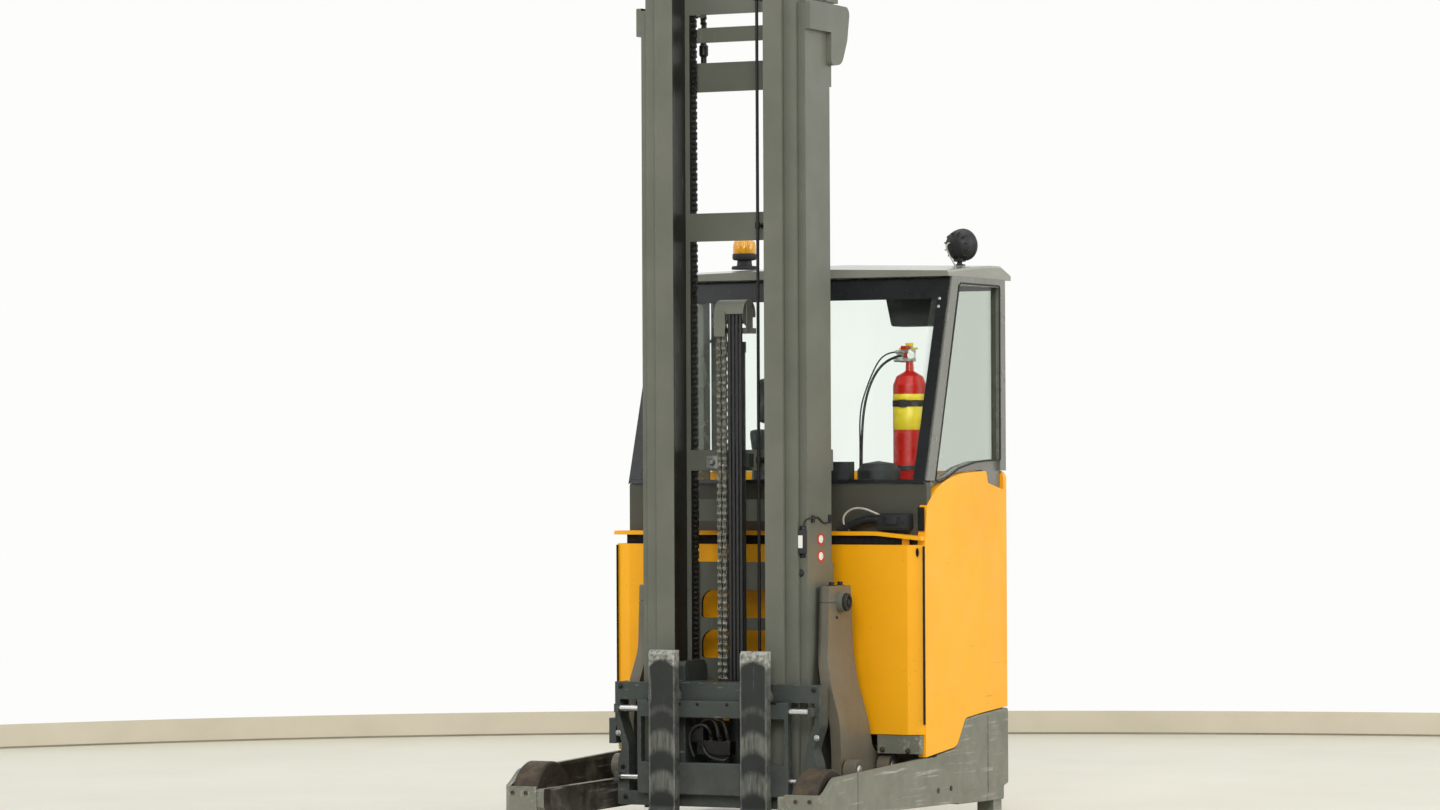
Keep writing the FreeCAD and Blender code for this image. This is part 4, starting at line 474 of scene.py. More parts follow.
def ready(name, shape, finish, body, angle=35):
    """A shape becomes a piece that rides on a body, or on none."""
    bmesh.ops.recalc_face_normals(shape, faces=shape.faces)
    piece = placed(name, shape)
    for face in piece.data.polygons:
        face.use_smooth = True
    piece.data.set_sharp_from_angle(angle=math.radians(angle))
    piece.data.materials.append(finish)
    if body:
        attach(piece, body)
    return piece


def skinned(shape, rings, closed=False):
    """Joins rings of points into a skin; a closed one meets its first ring again, others get end caps."""
    pairs = list(zip(rings, rings[1:]))
    if closed:
        pairs.append((rings[-1], rings[0]))
    for one, two in pairs:
        for step in range(len(one)):
            after = (step + 1) % len(one)
            shape.faces.new((one[step], one[after], two[after], two[step]))
    if not closed:
        shape.faces.new(rings[0][::-1])
        shape.faces.new(rings[-1])


def turned(shape, foot, axis, profile, sides=32):
    """Adds a turned form; profile is (radius, distance along the axis) from its foot."""
    foot, along = Vector(foot), Vector(axis).normalized()
    across = along.orthogonal().normalized()
    third = along.cross(across)
    rings = []
    for radius, far in profile:
        ring = []
        for step in range(sides):
            turn = math.tau * step / sides
            offset = across * math.cos(turn) + third * math.sin(turn)
            ring.append(shape.verts.new(foot + along * far + offset * radius))
        rings.append(ring)
    skinned(shape, rings)


def hex_bolt(shape, foot, axis, size, height=None):
    """Adds a hexagon head on its washer; size is over the flats."""
    height = height or size * 0.62
    turned(shape, foot, axis, [(size * 0.85, 0), (size * 0.85, size * 0.12), (size * 0.8, size * 0.15)], 20)
    start = Vector(foot) + Vector(axis).normalized() * size * 0.14
    turned(shape, start, axis, [(size * 0.56, 0), (size * 0.56, height * 0.85), (size * 0.48, height)], 6)


def domed_cap(shape, foot, axis, radius, height, sides=32):
    """Adds a pressed cap with a rolled rim."""
    profile = [(radius, 0), (radius, height * 0.35), (radius * 0.93, height * 0.5),
               (radius * 0.86, height * 0.5)]
    for step in range(1, 6):
        turn = math.radians(15 * step)
        profile.append((radius * 0.84 * math.cos(turn) + 0.0005, height * (0.5 + 0.5 * math.sin(turn))))
    turned(shape, foot, axis, profile, sides)


def slab(shape, low, high, edge=0.002):
    """Adds a block between two corners, with rounded edges."""
    made = bmesh.ops.create_cube(shape, size=1.0)
    low, high = Vector(low), Vector(high)
    for vertex in made["verts"]:
        vertex.co = Vector((low[i] if vertex.co[i] < 0 else high[i]) for i in range(3))
    edges = dict.fromkeys(e for vertex in made["verts"]
                          for e in vertex.link_edges)  # once each, in a fixed order
    bmesh.ops.bevel(shape, geom=list(edges), offset=edge, segments=2, profile=0.7, affect="EDGES")


def plate(shape, corners, depth):
    """Adds a plate: corners in order, pushed through by depth."""
    depth = Vector(depth)
    near = [shape.verts.new(Vector(c)) for c in corners]
    far = [shape.verts.new(Vector(c) + depth) for c in corners]
    shape.faces.new(near)
    shape.faces.new(far[::-1])
    for i in range(len(near)):
        j = (i + 1) % len(near)
        shape.faces.new((near[j], near[i], far[i], far[j]))


def frames_along(points):
    """Each point with two directions across the line, carried along it without twist."""
    across = None
    for i, point in enumerate(points):
        ahead = (points[min(i + 1, len(points) - 1)] - points[max(i - 1, 0)]).normalized()
        across = ahead.orthogonal() if across is None else across - ahead * across.dot(ahead)
        across = across.normalized()
        yield point, across, ahead.cross(across)


def tube(shape, points, radii, sides=12, closed=False):
    """Adds a round tube along points; radii is one radius or one for each point."""
    points = [Vector(p) for p in points]
    rings = []
    for i, (point, one, two) in enumerate(frames_along(points)):
        radius = radii if isinstance(radii, float) else radii[i]
        turns = [math.tau * s / sides for s in range(sides)]
        rings.append([shape.verts.new(point + (one * math.cos(t) + two * math.sin(t)) * radius) for t in turns])
    skinned(shape, rings, closed)


def nurbs(name, route, radius=0.0):
    """A smooth curve with the route's points as its control points."""
    curve = bpy.data.curves.new(name, "CURVE")
    curve.dimensions = "3D"
    curve.resolution_u = 16
    curve.bevel_depth = radius
    curve.bevel_resolution = 4
    curve.use_fill_caps = True
    spline = curve.splines.new("NURBS")
    spline.points.add(len(route) - 1)
    for point, place in zip(spline.points, route):
        point.co = (*place, 1.0)
    spline.order_u = 3
    spline.use_endpoint_u = True
    piece = bpy.data.objects.new(name, curve)
    scene.collection.objects.link(piece)
    return piece


def points_of(route):
    """The points of the smooth curve that a route gives."""
    guide = nurbs("guide", route)
    mesh = bpy.data.meshes.new_from_object(guide)
    points = [vertex.co.copy() for vertex in mesh.vertices]
    curve = guide.data
    bpy.data.objects.remove(guide)
    bpy.data.curves.remove(curve)
    bpy.data.meshes.remove(mesh)
    return points


def cable(name, route, radius, finish, body):
    """A hose or cable as a smooth curve that rides on a body."""
    piece = nurbs(name, route, radius)
    piece.data.materials.append(finish)
    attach(piece, body)
    return piece


# ---------------------------------------------------------------- hoses of the cab and battery
EXTINGUISHER_ROUTE = [
    (0.430, 0.695, 1.765), (0.358, 0.687, 1.760), (0.281, 0.675, 1.635), (0.263, 0.665, 1.425),
                      (0.271, 0.659, 1.196),
]


def extinguisher_lines():
    """The discharge hose from the valve down into the dash, with its gland and ferrule."""
    shape = bmesh.new()
    turned(shape, (0.271, 0.659, 1.147), (0, 0, 1),
           [(0.014, 0), (0.014, 0.006), (0.010, 0.012), (0.0065, 0.052)], 20)
    gland = ready("hose_gland", shape, black_rubber, "chassis")
    shape = bmesh.new()
    turned(shape, (0.436, 0.695, 1.7655), (-1, 0.1, 0),
           [(0.008, 0), (0.008, 0.012), (0.0065, 0.016), (0.0065, 0.034)], 16)
    ferrule = ready("hose_ferrule", shape, zinc, "chassis")
    hose = cable("discharge_hose", EXTINGUISHER_ROUTE, 0.005, hose_cover, "chassis")
    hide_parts("extinguisher_hoses")
    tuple(EXTINGUISHER_ROUTE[0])


extinguisher_lines()


def battery_leads():
    """The ribbed conduit from the battery plug over the lid, and the thin looped lead above it."""
    line = points_of([(0.500, 0.400, 1.150), (0.440, 0.395, 1.158), (0.380, 0.392, 1.148),
                      (0.330, 0.392, 1.126),
                      (0.290, 0.394, 1.112)])
    points, radii = [], []
    for one, two in zip(line, line[1:]):
        for step in range(4):
            points.append(one.lerp(two, step / 4))
            radii.append(0.0155 if step < 2 else 0.0135)
    shape = bmesh.new()
    tube(shape, points, radii, 16)
    ready("battery_conduit", shape, hose_cover, "chassis", 60)
    route = [(0.492, 0.388, 1.160), (0.450, 0.386, 1.176), (0.402, 0.384, 1.196), (0.350, 0.384, 1.196),
             (0.314, 0.385, 1.166), (0.318, 0.387, 1.128), (0.340, 0.389, 1.114)]
    shape = bmesh.new()
    turned(shape, (0.505, 0.390, 1.156), (-1, -0.1, 0.3), [(0.008, 0), (0.008, 0.006), (0.0042, 0.022)], 16)
    relief = ready("lead_relief", shape, black_rubber, "chassis")
    lead = cable("looped_lead", route, 0.0038, grey_sheath, "chassis")
    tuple(route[0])
    shape = bmesh.new()
    slab(shape, (0.455, 0.380, 1.121), (0.573, 0.386, 1.173), 0.003)
    for x in (0.466, 0.562):
        turned(shape, (x, 0.3805, 1.147), (0, -1, 0), [(0.006, 0), (0.006, 0.004), (0.005, 0.005)], 12)
    for row in range(5):
        slab(shape, (0.478, 0.3775, 1.128 + row * 0.0088), (0.550, 0.381, 1.132 + row * 0.0088), 0.0012)
    slab(shape, (0.492, 0.372, 1.136), (0.536, 0.381, 1.166), 0.004)
    ready("battery_plug_face", shape, black_abs, "chassis")


# ---------------------------------------------------------------- chains and hoses of the mast
LINK = [(-0.5, 0.42), (-0.72, 0.3), (-0.8, 0.0), (-0.72, -0.3), (-0.5, -0.42), (0.0, -0.25), (0.5, -0.42),
        (0.72, -0.3), (0.8, 0.0), (0.72, 0.3), (0.5, 0.42), (0.0, 0.25)]


def leaf_chain(shape, points, across, width, pitch, height):
    """Adds a leaf chain whose pins stand at the points; across is the pins' direction."""
    across = Vector(across)
    plates = 6
    step = width / plates
    for number, (one, two) in enumerate(zip(points, points[1:])):
        along = (two - one).normalized()
        up = across.cross(along)
        middle = (one + two) / 2
        for place in range(number % 2, plates, 2):
            start = middle + across * (-width / 2 + place * step + step * 0.08)
            corners = [start + along * a * pitch + up * b * height * 1.15 for a, b in LINK]
            plate(shape, corners, across * step * 0.84)
    for pin in points:
        foot = pin - across * (width / 2 + 0.0015)
        turned(shape, foot, across, [(pitch * 0.16, 0), (pitch * 0.19, 0.001), (pitch * 0.19, width + 0.002),
                                     (pitch * 0.16, width + 0.003)], 8)


LIFT_PITCH = 0.01905
FREE_PITCH = 0.0254
SHEAVE_TOP = 3.068
SHEAVE_RADIUS = 0.042
FREE_TOP = 1.912


def upright(x, y, low, high, pitch):
    """Pin places down an upright run, as near to the pitch as a whole number of links allows."""
    links = round((high - low) / pitch)
    return [Vector((x, y, high - (high - low) * i / links)) for i in range(links + 1)]


def mast_chains():
    """The lift chains over their sheaves, the short runs to their anchors and the free-lift chain."""
    run, anchor, wrap = bmesh.new(), bmesh.new(), bmesh.new()
    for side in (-1, 1):
        x = side * 0.205
        leaf_chain(run, upright(x, 0.207, 0.178, SHEAVE_TOP, LIFT_PITCH), (1, 0, 0), 0.020, LIFT_PITCH, 0.018)
        leaf_chain(anchor, upright(x, 0.291, 2.930, SHEAVE_TOP, LIFT_PITCH), (1, 0, 0), 0.020, LIFT_PITCH,
                   0.018)
        turns = [math.pi * i / 7 for i in range(8)]
        over = [Vector((x, 0.249 + SHEAVE_RADIUS * math.cos(t), SHEAVE_TOP + SHEAVE_RADIUS * math.sin(t)))
                for t in turns]
        leaf_chain(wrap, over, (1, 0, 0), 0.020, LIFT_PITCH, 0.018)
        clevis = [(0.020, 0), (0.020, 0.010), (0.011, 0.014), (0.011, 0.036), (0.017, 0.044), (0.017, 0.078),
                  (0.011, 0.084)]
        turned(anchor, (x, 0.291, 2.8465), (0, 0, 1), clevis, 16)
    piece = ready("lift_chain_runs", run, oiled_chain, "mast_middle")
    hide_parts("lift_chains")
    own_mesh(piece)
    ready("sheave_chain_wraps", wrap, oiled_chain, "mast_middle")
    piece = ready("anchor_chain_runs", anchor, oiled_chain, None)
    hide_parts("chain_anchor_runs")
    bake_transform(piece)
    free = bmesh.new()
    for x in (-0.0345, -0.0135):
        leaf_chain(free, upright(x, 0.062, 0.574, FREE_TOP, FREE_PITCH), (1, 0, 0), 0.0155, FREE_PITCH, 0.021)
    piece = ready("free_lift_chain_run", free, chain_steel, "free_lift_head")
    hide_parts("free_lift_chain")
    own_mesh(piece)
    hoses = bmesh.new()
    for x in (0.0075, 0.0225, 0.0375, 0.0525):
        tube(hoses, [(x, 0.062, FREE_TOP - i * (FREE_TOP - 0.566) / 24) for i in range(25)], 0.0068, 14)
    piece = ready("mast_hose_pack", hoses, hose_cover, "free_lift_head")
    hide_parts("mast_hoses")
    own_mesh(piece)


def mast_fittings():
    """Bolts, the drain pipe, the height sensor with its lead, and plain stickers."""
    bolts = bmesh.new()
    for x in (-0.1235, 0.0202):
        hex_bolt(bolts, (x, 0.179, 1.369), (0, -1, 0), 0.017)
        slab(bolts, (x - 0.024, 0.1765, 1.345), (x + 0.024, 0.1795, 1.393), 0.002)
    ready("tie_bolts", bolts, zinc, "mast_inner")
    pipe = bmesh.new()
    tube(pipe, [(0.089, 0.135, 0.118 + i * 3.02 / 40) for i in range(41)], 0.006, 12)
    for z in (0.20, 1.375, 2.24, 3.08):
        turned(pipe, (0.089, 0.135, z - 0.012), (0, 0, 1),
               [(0.009, 0), (0.010, 0.003), (0.010, 0.021), (0.009, 0.024)], 16)
        turned(pipe, (0.089, 0.14, z), (0, 1, 0), [(0.006, 0), (0.006, 0.036), (0.011, 0.037), (0.011, 0.0395)],
               12)
    ready("drain_pipe", pipe, black_rubber, "mast_inner")
    sensor = bmesh.new()
    slab(sensor, (0.296, 0.008, 1.036), (0.332, 0.028, 1.121), 0.003)
    slab(sensor, (0.300, 0.0275, 1.020), (0.328, 0.029, 1.137), 0.0006)
    for z in (1.028, 1.129):
        turned(sensor, (0.314, 0.0285, z), (0, -1, 0), [(0.006, 0), (0.006, 0.004), (0.004, 0.006)], 12)
    turned(sensor, (0.322, 0.018, 1.118), (0, 0, 1), [(0.006, 0), (0.006, 0.009), (0.004, 0.016)], 12)
    domed_cap(sensor, (0.308, 0.0285, 0.965), (0, -1, 0), 0.013, 0.010, 20)
    for y in (0.069, 0.218):
        slab(sensor, (0.3335, y - 0.009, 1.148), (0.343, y + 0.009, 1.174), 0.002)
    ready("height_sensor", sensor, black_abs, "mast_outer")
    cable("height_sensor_lead",
          [(0.322, 0.018, 1.130), (0.326, 0.018, 1.158), (0.339, 0.040, 1.164), (0.339, 0.069, 1.166),
          (0.339, 0.115, 1.168), (0.338, 0.165, 1.140), (0.338, 0.218, 1.150), (0.330, 0.240, 1.140),
           (0.300, 0.252, 1.10)],
          0.003, black_rubber, "mast_outer")
    label = bmesh.new()
    slab(label, (0.306, 0.0072, 1.056), (0.324, 0.0082, 1.102), 0.0004)
    ready("sensor_label", label, white_vinyl, "mast_outer")
    for number, z in enumerate((1.086, 1.024)):
        for name, radius, finish, x in (("ring", 0.0235, red_vinyl, 0.3341),
                                        ("field", 0.0145, white_vinyl, 0.3343)):
            disc = bmesh.new()
            turns = [math.tau * i / 40 for i in range(40)]
            plate(disc, [(x, 0.1455 + 1.3 * radius * math.cos(t), z + radius * math.sin(t)) for t in turns],
                  (0.0003, 0, 0))
            ready(f"sticker_{name}_{number}", disc, finish, "mast_outer")


ROLLER_FACE = 0.4875
ROLLER_Z = 0.244
PIVOT_Y = 0.200
PIVOT_Z = 0.855


def carriage_fittings():
    """Roller caps, pivot rings, guide rods, valve block and hoses in the fork carriage's window."""
    caps = bmesh.new()
    rings = bmesh.new()
    for side in (-1, 1):
        for y in (0.120, 0.425):
            domed_cap(caps, (side * ROLLER_FACE, y, ROLLER_Z), (side, 0, 0), 0.026, 0.014)
            turned(rings, (side * ROLLER_FACE, y, ROLLER_Z), (side, 0, 0),
                   [(0.041, 0), (0.041, 0.005), (0.038, 0.008), (0.028, 0.004)], 36)
        turned(rings, (side * 0.4065, PIVOT_Y, PIVOT_Z), (side, 0, 0),
               [(0.033, 0), (0.033, 0.010), (0.030, 0.014), (0.021, 0.014), (0.020, 0.006), (0.019, 0.006)], 36)
        hex_bolt(rings, (side * 0.412, PIVOT_Y, PIVOT_Z), (side, 0, 0), 0.020, 0.006)
        for y in (0.165, 0.240):
            hex_bolt(rings, (side * 0.367, y, 0.9145), (0, 0, 1), 0.019)
        turned(rings, (side * 0.3868, 0.165, 0.80), (side, 0, 0), [(0.006, 0), (0.006, 0.003), (0.004, 0.005)],
               12)
    ready("roller_caps", caps, zinc, "reach_carriage")
    ready("pivot_rings", rings, black_rubber, "reach_carriage")
    for side, name in ((-1, "left"), (1, "right")):
        rods = bmesh.new()
        for z, radius in ((0.466, 0.0123), (0.215, 0.0093)):
            turned(rods, (side * 0.3055, -0.069, z), (side, 0, 0), [(radius, 0), (radius, 0.077)], 24)
        piece = ready(f"guide_rod_chrome_{name}", rods, chrome, None)
        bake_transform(piece)
    bright = bmesh.new()
    for side in (-1, 1):
        hex_bolt(bright, (side * 0.402, -0.048, 0.372), (0, -1, 0), 0.013)
    ready("bracket_bolts", bright, zinc, "fork_carriage")
    bolts = bmesh.new()
    for side in (-1, 1):
        for x, z in ((0.392, 0.545), (0.383, 0.250), (0.372, 0.140)):
            hex_bolt(bolts, (side * x, -0.048, z), (0, -1, 0), 0.012)
        for x in (0.06, 0.13, 0.21):
            turned(bolts, (side * x, -0.085, 0.487), (0, -1, 0), [(0.006, 0), (0.006, 0.002), (0.004, 0.004)],
                   12)
        slab(bolts, (side * 0.250 - 0.012, -0.088, 0.492), (side * 0.250 + 0.012, -0.056, 0.503), 0.002)
    ready("carriage_bolts", bolts, oiled_steel, "fork_carriage")
    block = bmesh.new()
    slab(block, (-0.085, -0.040, 0.300), (0.050, 0.010, 0.350), 0.004)
    slab(block, (-0.120, -0.036, 0.345), (-0.060, 0.006, 0.400), 0.004)
    for x, z in ((-0.07, 0.352), (-0.035, 0.352), (0.0, 0.352), (0.035, 0.352), (-0.10, 0.402)):
        hex_bolt(block, (x, -0.018, z - 0.002), (0, 0, 1), 0.017, 0.016)
    ready("shift_valve", block, oiled_steel, "fork_carriage")
    loops = (
        [(-0.100, -0.022, 0.415), (-0.098, -0.034, 0.436), (-0.060, -0.040, 0.446), (-0.010, -0.040, 0.444),
         (0.030, -0.036, 0.420), (0.036, -0.030, 0.366)],
        [(-0.070, -0.020, 0.366), (-0.072, -0.036, 0.410), (-0.045, -0.044, 0.436), (0.000, -0.044, 0.425),
         (0.003, -0.036, 0.366)],
        [(-0.035, -0.020, 0.366), (-0.030, -0.040, 0.395), (-0.060, -0.048, 0.415), (-0.105, -0.044, 0.395),
         (-0.120, -0.036, 0.340), (-0.100, -0.030, 0.290)],
        [(0.035, -0.022, 0.298), (0.040, -0.044, 0.280), (0.000, -0.048, 0.284), (-0.045, -0.044, 0.300),
         (-0.060, -0.040, 0.330)],
    )
    for number, route in enumerate(loops):
        cable(f"shift_hose_{number}", route, 0.0065, hose_cover, "fork_carriage")
    unions = bmesh.new()
    for route in loops:
        for end, nearer in ((route[0], route[1]), (route[-1], route[-2])):
            hex_bolt(unions, end, Vector(nearer) - Vector(end), 0.013, 0.014)
    ready("hose_unions", unions, oiled_steel, "fork_carriage")


def arm_fittings():
    """Bolts of the low arms and the lines where their castings meet."""
    bolts = bmesh.new()
    for side in (-1, 1):
        for x in (0.536, 0.590):
            turned(bolts, (side * x, -0.5195, 0.180), (0, -1, 0),
                   [(0.008, 0), (0.008, 0.003), (0.005, 0.0035), (0.005, 0.001)], 16)
        for x, z in ((0.470, 0.306), (0.573, 0.302)):
            hex_bolt(bolts, (side * x, 0.3852, z), (0, -1, 0), 0.013)
        for y in (0.520, 0.640):
            turned(bolts, (side * 0.6348, y, 0.150), (side, 0, 0), [(0.010, 0), (0.010, 0.003), (0.007, 0.004)],
                   16)
    ready("arm_bolts", bolts, cast_iron, "chassis")
    seams = bmesh.new()
    for side in (-1, 1):
        for y, low, high in ((-0.206, 0.108, 0.262), (1.004, 0.110, 0.400)):
            slab(seams, (side * 0.6349 - 0.0006, y - 0.0014, low), (side * 0.6349 + 0.0006, y + 0.0014, high),
                 0.0004)
    ready("arm_seams", seams, black_rubber, "chassis")


LENS_STEPS = 96
FLUTE_DEPTH = 0.0008


def lamp_and_beacon():
    """A fluted amber beacon on a black base, and a round work lamp on its bracket."""
    place = Vector((-0.345, 0.930, 2.1135))
    shape = bmesh.new()
    turned(shape, place, (0, 0, 1),
           [(0.050, 0), (0.050, 0.010), (0.046, 0.013), (0.030, 0.014), (0.028, 0.034), (0.044, 0.037),
                                     (0.047, 0.042), (0.047, 0.058), (0.044, 0.061)], 40)
    base = ready("beacon_base", shape, black_abs, "chassis")
    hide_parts("beacon")
    shape = bmesh.new()
    rings = []
    for radius, height in ((0.043, 0.060), (0.0445, 0.064), (0.044, 0.082), (0.043, 0.098), (0.040, 0.108),
                           (0.030, 0.1145), (0.012, 0.117)):
        ring = []
        for step in range(LENS_STEPS):
            out = radius - (FLUTE_DEPTH if step % 2 else 0.0)
            turn = math.tau * step / LENS_STEPS
            ring.append(shape.verts.new(place + Vector((out * math.cos(turn), out * math.sin(turn), height))))
        rings.append(ring)
    skinned(shape, rings)
    ready("beacon_lens", shape, amber_lens, "chassis")
    shape = bmesh.new()
    turned(shape, place + Vector((0, 0, 0.066)), (0, 0, 1),
           [(0.020, 0), (0.026, 0.010), (0.026, 0.022), (0.014, 0.034)], 24)
    ready("beacon_core", shape, chrome, "chassis")
    centre = Vector((0.517, 1.030, 2.190))
    facing = Vector((0.17, 0.97, 0.14)).normalized()
    shape = bmesh.new()
    turned(shape, centre - facing * 0.036, facing,
           [(0.020, 0), (0.036, 0.004), (0.052, 0.018), (0.058, 0.030), (0.060, 0.052),
                                                   (0.062, 0.054), (0.062, 0.068), (0.058, 0.071)], 44)
    for turn in range(0, 360, 30):
        fin = facing.orthogonal().normalized()
        fin.rotate(Matrix.Rotation(math.radians(turn), 3, facing))
        start = centre - facing * 0.030 + fin * 0.030
        side = facing.cross(fin) * 0.0015
        root = start - side
        plate(shape, [root, root + fin * 0.022, root + fin * 0.029 + facing * 0.024, root + facing * 0.024],
              side * 2)
    turned(shape, (0.517, 1.030, 2.1135), (0, 0, 1),
           [(0.022, 0), (0.022, 0.004), (0.010, 0.006), (0.010, 0.026)], 20)
    slab(shape, (0.500, 1.010, 2.128), (0.534, 1.050, 2.140), 0.003)
    lamp = ready("work_lamp", shape, black_abs, "chassis")
    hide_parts("beacon")
    shape = bmesh.new()
    turned(shape, centre + facing * 0.0352, facing,
           [(0.056, 0), (0.0565, 0.002), (0.050, 0.0035), (0.030, 0.005)], 40)
    ready("work_lamp_lens", shape, glass, "chassis")
    cable("work_lamp_lead",
          [(0.490, 1.000, 2.200), (0.478, 0.985, 2.196), (0.486, 0.990, 2.160), (0.505, 0.995, 2.128),
           (0.512, 1.000, 2.110)],
          0.003, grey_sheath, "chassis")


def extinguisher_dress():
    """Yellow sleeves, black straps, and the valve with its lever, gauge and outlets."""
    x, y = 0.453, 0.695
    shape = bmesh.new()
    for low, high in ((1.597, 1.620), (1.486, 1.572)):
        turned(shape, (x, y, low), (0, 0, 1),
               [(0.0632, 0), (0.0635, 0.0005), (0.0635, high - low - 0.0005), (0.0632, high - low)], 48)
    ready("bottle_sleeves", shape, yellow_vinyl, "chassis")
    shape = bmesh.new()
    turned(shape, (x, y, 1.573), (0, 0, 1), [(0.0640, 0), (0.0650, 0.001), (0.0650, 0.022), (0.0640, 0.023)],
           48)
    slab(shape, (x - 0.014, y - 0.072, 1.570), (x + 0.014, y - 0.060, 1.599), 0.003)
    turned(shape, (x, y, 1.334), (0, 0, 1), [(0.058, 0), (0.0655, 0.002), (0.0655, 0.016), (0.0640, 0.018)], 48)
    ready("bottle_strap", shape, black_rubber, "chassis")
    shape = bmesh.new()
    turned(shape, (x, y, 1.742), (0, 0, 1),
           [(0.0225, 0), (0.0235, 0.003), (0.0235, 0.012), (0.019, 0.016), (0.019, 0.030),
                                             (0.0232, 0.034), (0.0232, 0.046), (0.018, 0.050)], 32)
    for z, reach in ((1.748, 0.052), (1.779, 0.046)):
        turned(shape, (x - 0.010, y, z), (-1, 0, 0),
               [(0.009, 0), (0.009, reach * 0.5), (0.007, reach * 0.55), (0.007, reach)], 16)
    turned(shape, (x + 0.010, y - 0.012, 1.765), (0.5, -1, 0),
           [(0.006, 0), (0.006, 0.014), (0.015, 0.015), (0.015, 0.024)], 24)
    ready("bottle_valve", shape, zinc, "chassis")
    shape = bmesh.new()
    slab(shape, (x - 0.040, y - 0.010, 1.788), (x + 0.030, y + 0.010, 1.7945), 0.002)
    turned(shape, (x, y, 1.790), (0, 0, 1), [(0.012, 0), (0.012, 0.012), (0.015, 0.014), (0.015, 0.022)], 24)
    ready("bottle_lever", shape, yellow_vinyl, "chassis")
    cable("detection_line",
          [(0.405, 0.694, 1.779), (0.372, 0.690, 1.778), (0.330, 0.684, 1.750), (0.290, 0.674, 1.660),
          (0.258, 0.668, 1.560), (0.262, 0.664, 1.400), (0.262, 0.658, 1.300), (0.259, 0.656, 1.160)],
          0.003, black_rubber, "chassis")


def screen_point(x, z, out):
    """A point on the raked screen, out metres in front of it."""
    return (x, 0.4262 + (z - 1.297) * 0.33421 - out, z)


def glazing():
    """The black border of the screen, partly print and partly painted shade of the pillars and header behind
    it, the gasket of the side window and the posts' screws.
    """
    shape = bmesh.new()
    for corners in (
        ((-0.595, 1.975), (0.624, 1.975), (0.624, 2.056), (-0.595, 2.056)),
        ((-0.595, 1.288), (0.624, 1.288), (0.624, 1.302), (-0.595, 1.302)),
        ((0.580, 1.3025), (0.624, 1.3025), (0.624, 1.9745), (0.584, 1.9745)),
        ((-0.595, 1.3025), (-0.545, 1.3025), (-0.545, 1.9745), (-0.595, 1.9745)),
    ):
        plate(shape, [screen_point(x, z, 0.0002) for x, z in corners], (0, -0.0006, 0))
    ready("screen_border_and_shade", shape, black_border_and_shade, "chassis")
    corners = [(0.517, 1.300), (0.552, 1.290), (0.606, 1.300), (0.740, 1.341), (0.903, 1.364), (1.010, 1.369),
               (1.148, 1.372),
               (1.150, 2.030), (1.140, 2.036), (0.765, 2.036), (0.752, 2.026)]
    line = []
    for (y0, z0), (y1, z1) in zip(corners, corners[1:] + corners[:1]):
        line += [Vector((0.6315, y0 + (y1 - y0) * i / 6, z0 + (z1 - z0) * i / 6)) for i in range(6)]
    shape = bmesh.new()
    tube(shape, line, 0.0035, 8, closed=True)
    ready("side_window_gasket", shape, black_rubber, "chassis")
    shape = bmesh.new()
    for z in (1.975, 1.945):
        turned(shape, screen_point(0.594, z, -0.001), (0, -1, 0.3),
               [(0.006, 0), (0.006, 0.004), (0.004, 0.005)], 12)
    ready("screen_screws", shape, zinc, "chassis")


def cover_fittings():
    """Painted shade: black sheets in the latch hole of the battery cover and in the gaps beside it and under
    its lid.
    """
    shape = bmesh.new()
    turns = [math.tau * i / 24 for i in range(24)]
    hole = [(0.6135 + 0.006 * math.cos(t), 0.3868, 1.034 + 0.016 * math.sin(t)) for t in turns]
    plate(shape, hole, (0, -0.0018, 0))
    slab(shape, (-0.590, 0.3985, 1.0605), (0.545, 0.4025, 1.100), 0.001)
    for side in (-1, 1):
        slab(shape, (side * 0.6325 - 0.0020, 0.394, 0.40), (side * 0.6325 + 0.0020, 0.4088, 1.056), 0.0008)
    slab(shape, (0.6075, 0.4050, 1.112), (0.6335, 0.4085, 1.200), 0.0008)
    ready("cover_gap_shadows", shape, gap_shade_black, "chassis")


def settled(piece):
    """The shape as the piece's modifiers leave it becomes its own mesh."""
    shaped = bpy.data.meshes.new_from_object(piece.evaluated_get(bpy.context.evaluated_depsgraph_get()))
    piece.modifiers.clear()
    piece.data = shaped


STUFFING_FRAMES = 20


def swollen(name, shape, finish, push, cap):
    """A stuffed cushion: the shape is filled by a cloth simulation with pressure, then smoothed."""
    bmesh.ops.recalc_face_normals(shape, faces=shape.faces)
    piece = placed(name, shape)
    bpy.context.view_layer.objects.active = piece
    remesh = piece.modifiers.new("even", "REMESH")
    remesh.mode = "VOXEL"
    remesh.voxel_size = 0.006
    settled(piece)
    before = [vertex.co.copy() for vertex in piece.data.vertices]
    cloth_sim = piece.modifiers.new("stuffing", "CLOTH")
    cloth_sim.settings.use_pressure = True
    cloth_sim.settings.uniform_pressure_force = push
    cloth_sim.settings.quality = 5
    cloth_sim.settings.effector_weights.gravity = 0
    cloth_sim.point_cache.frame_start = 1
    cloth_sim.point_cache.frame_end = STUFFING_FRAMES
    for frame_number in range(1, STUFFING_FRAMES + 1):
        scene.frame_set(frame_number)
    settled(piece)
    for vertex, place in zip(piece.data.vertices, before):
        moved = vertex.co - place
        if moved.length > cap:
            vertex.co = place + moved.normalized() * cap
    scene.frame_set(1)
    smooth = piece.modifiers.new("soften", "SMOOTH")
    smooth.iterations = 4
    settled(piece)
    for face in piece.data.polygons:
        face.use_smooth = True
    piece.data.materials.clear()
    piece.data.materials.append(finish)
    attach(piece, "chassis")
    return piece


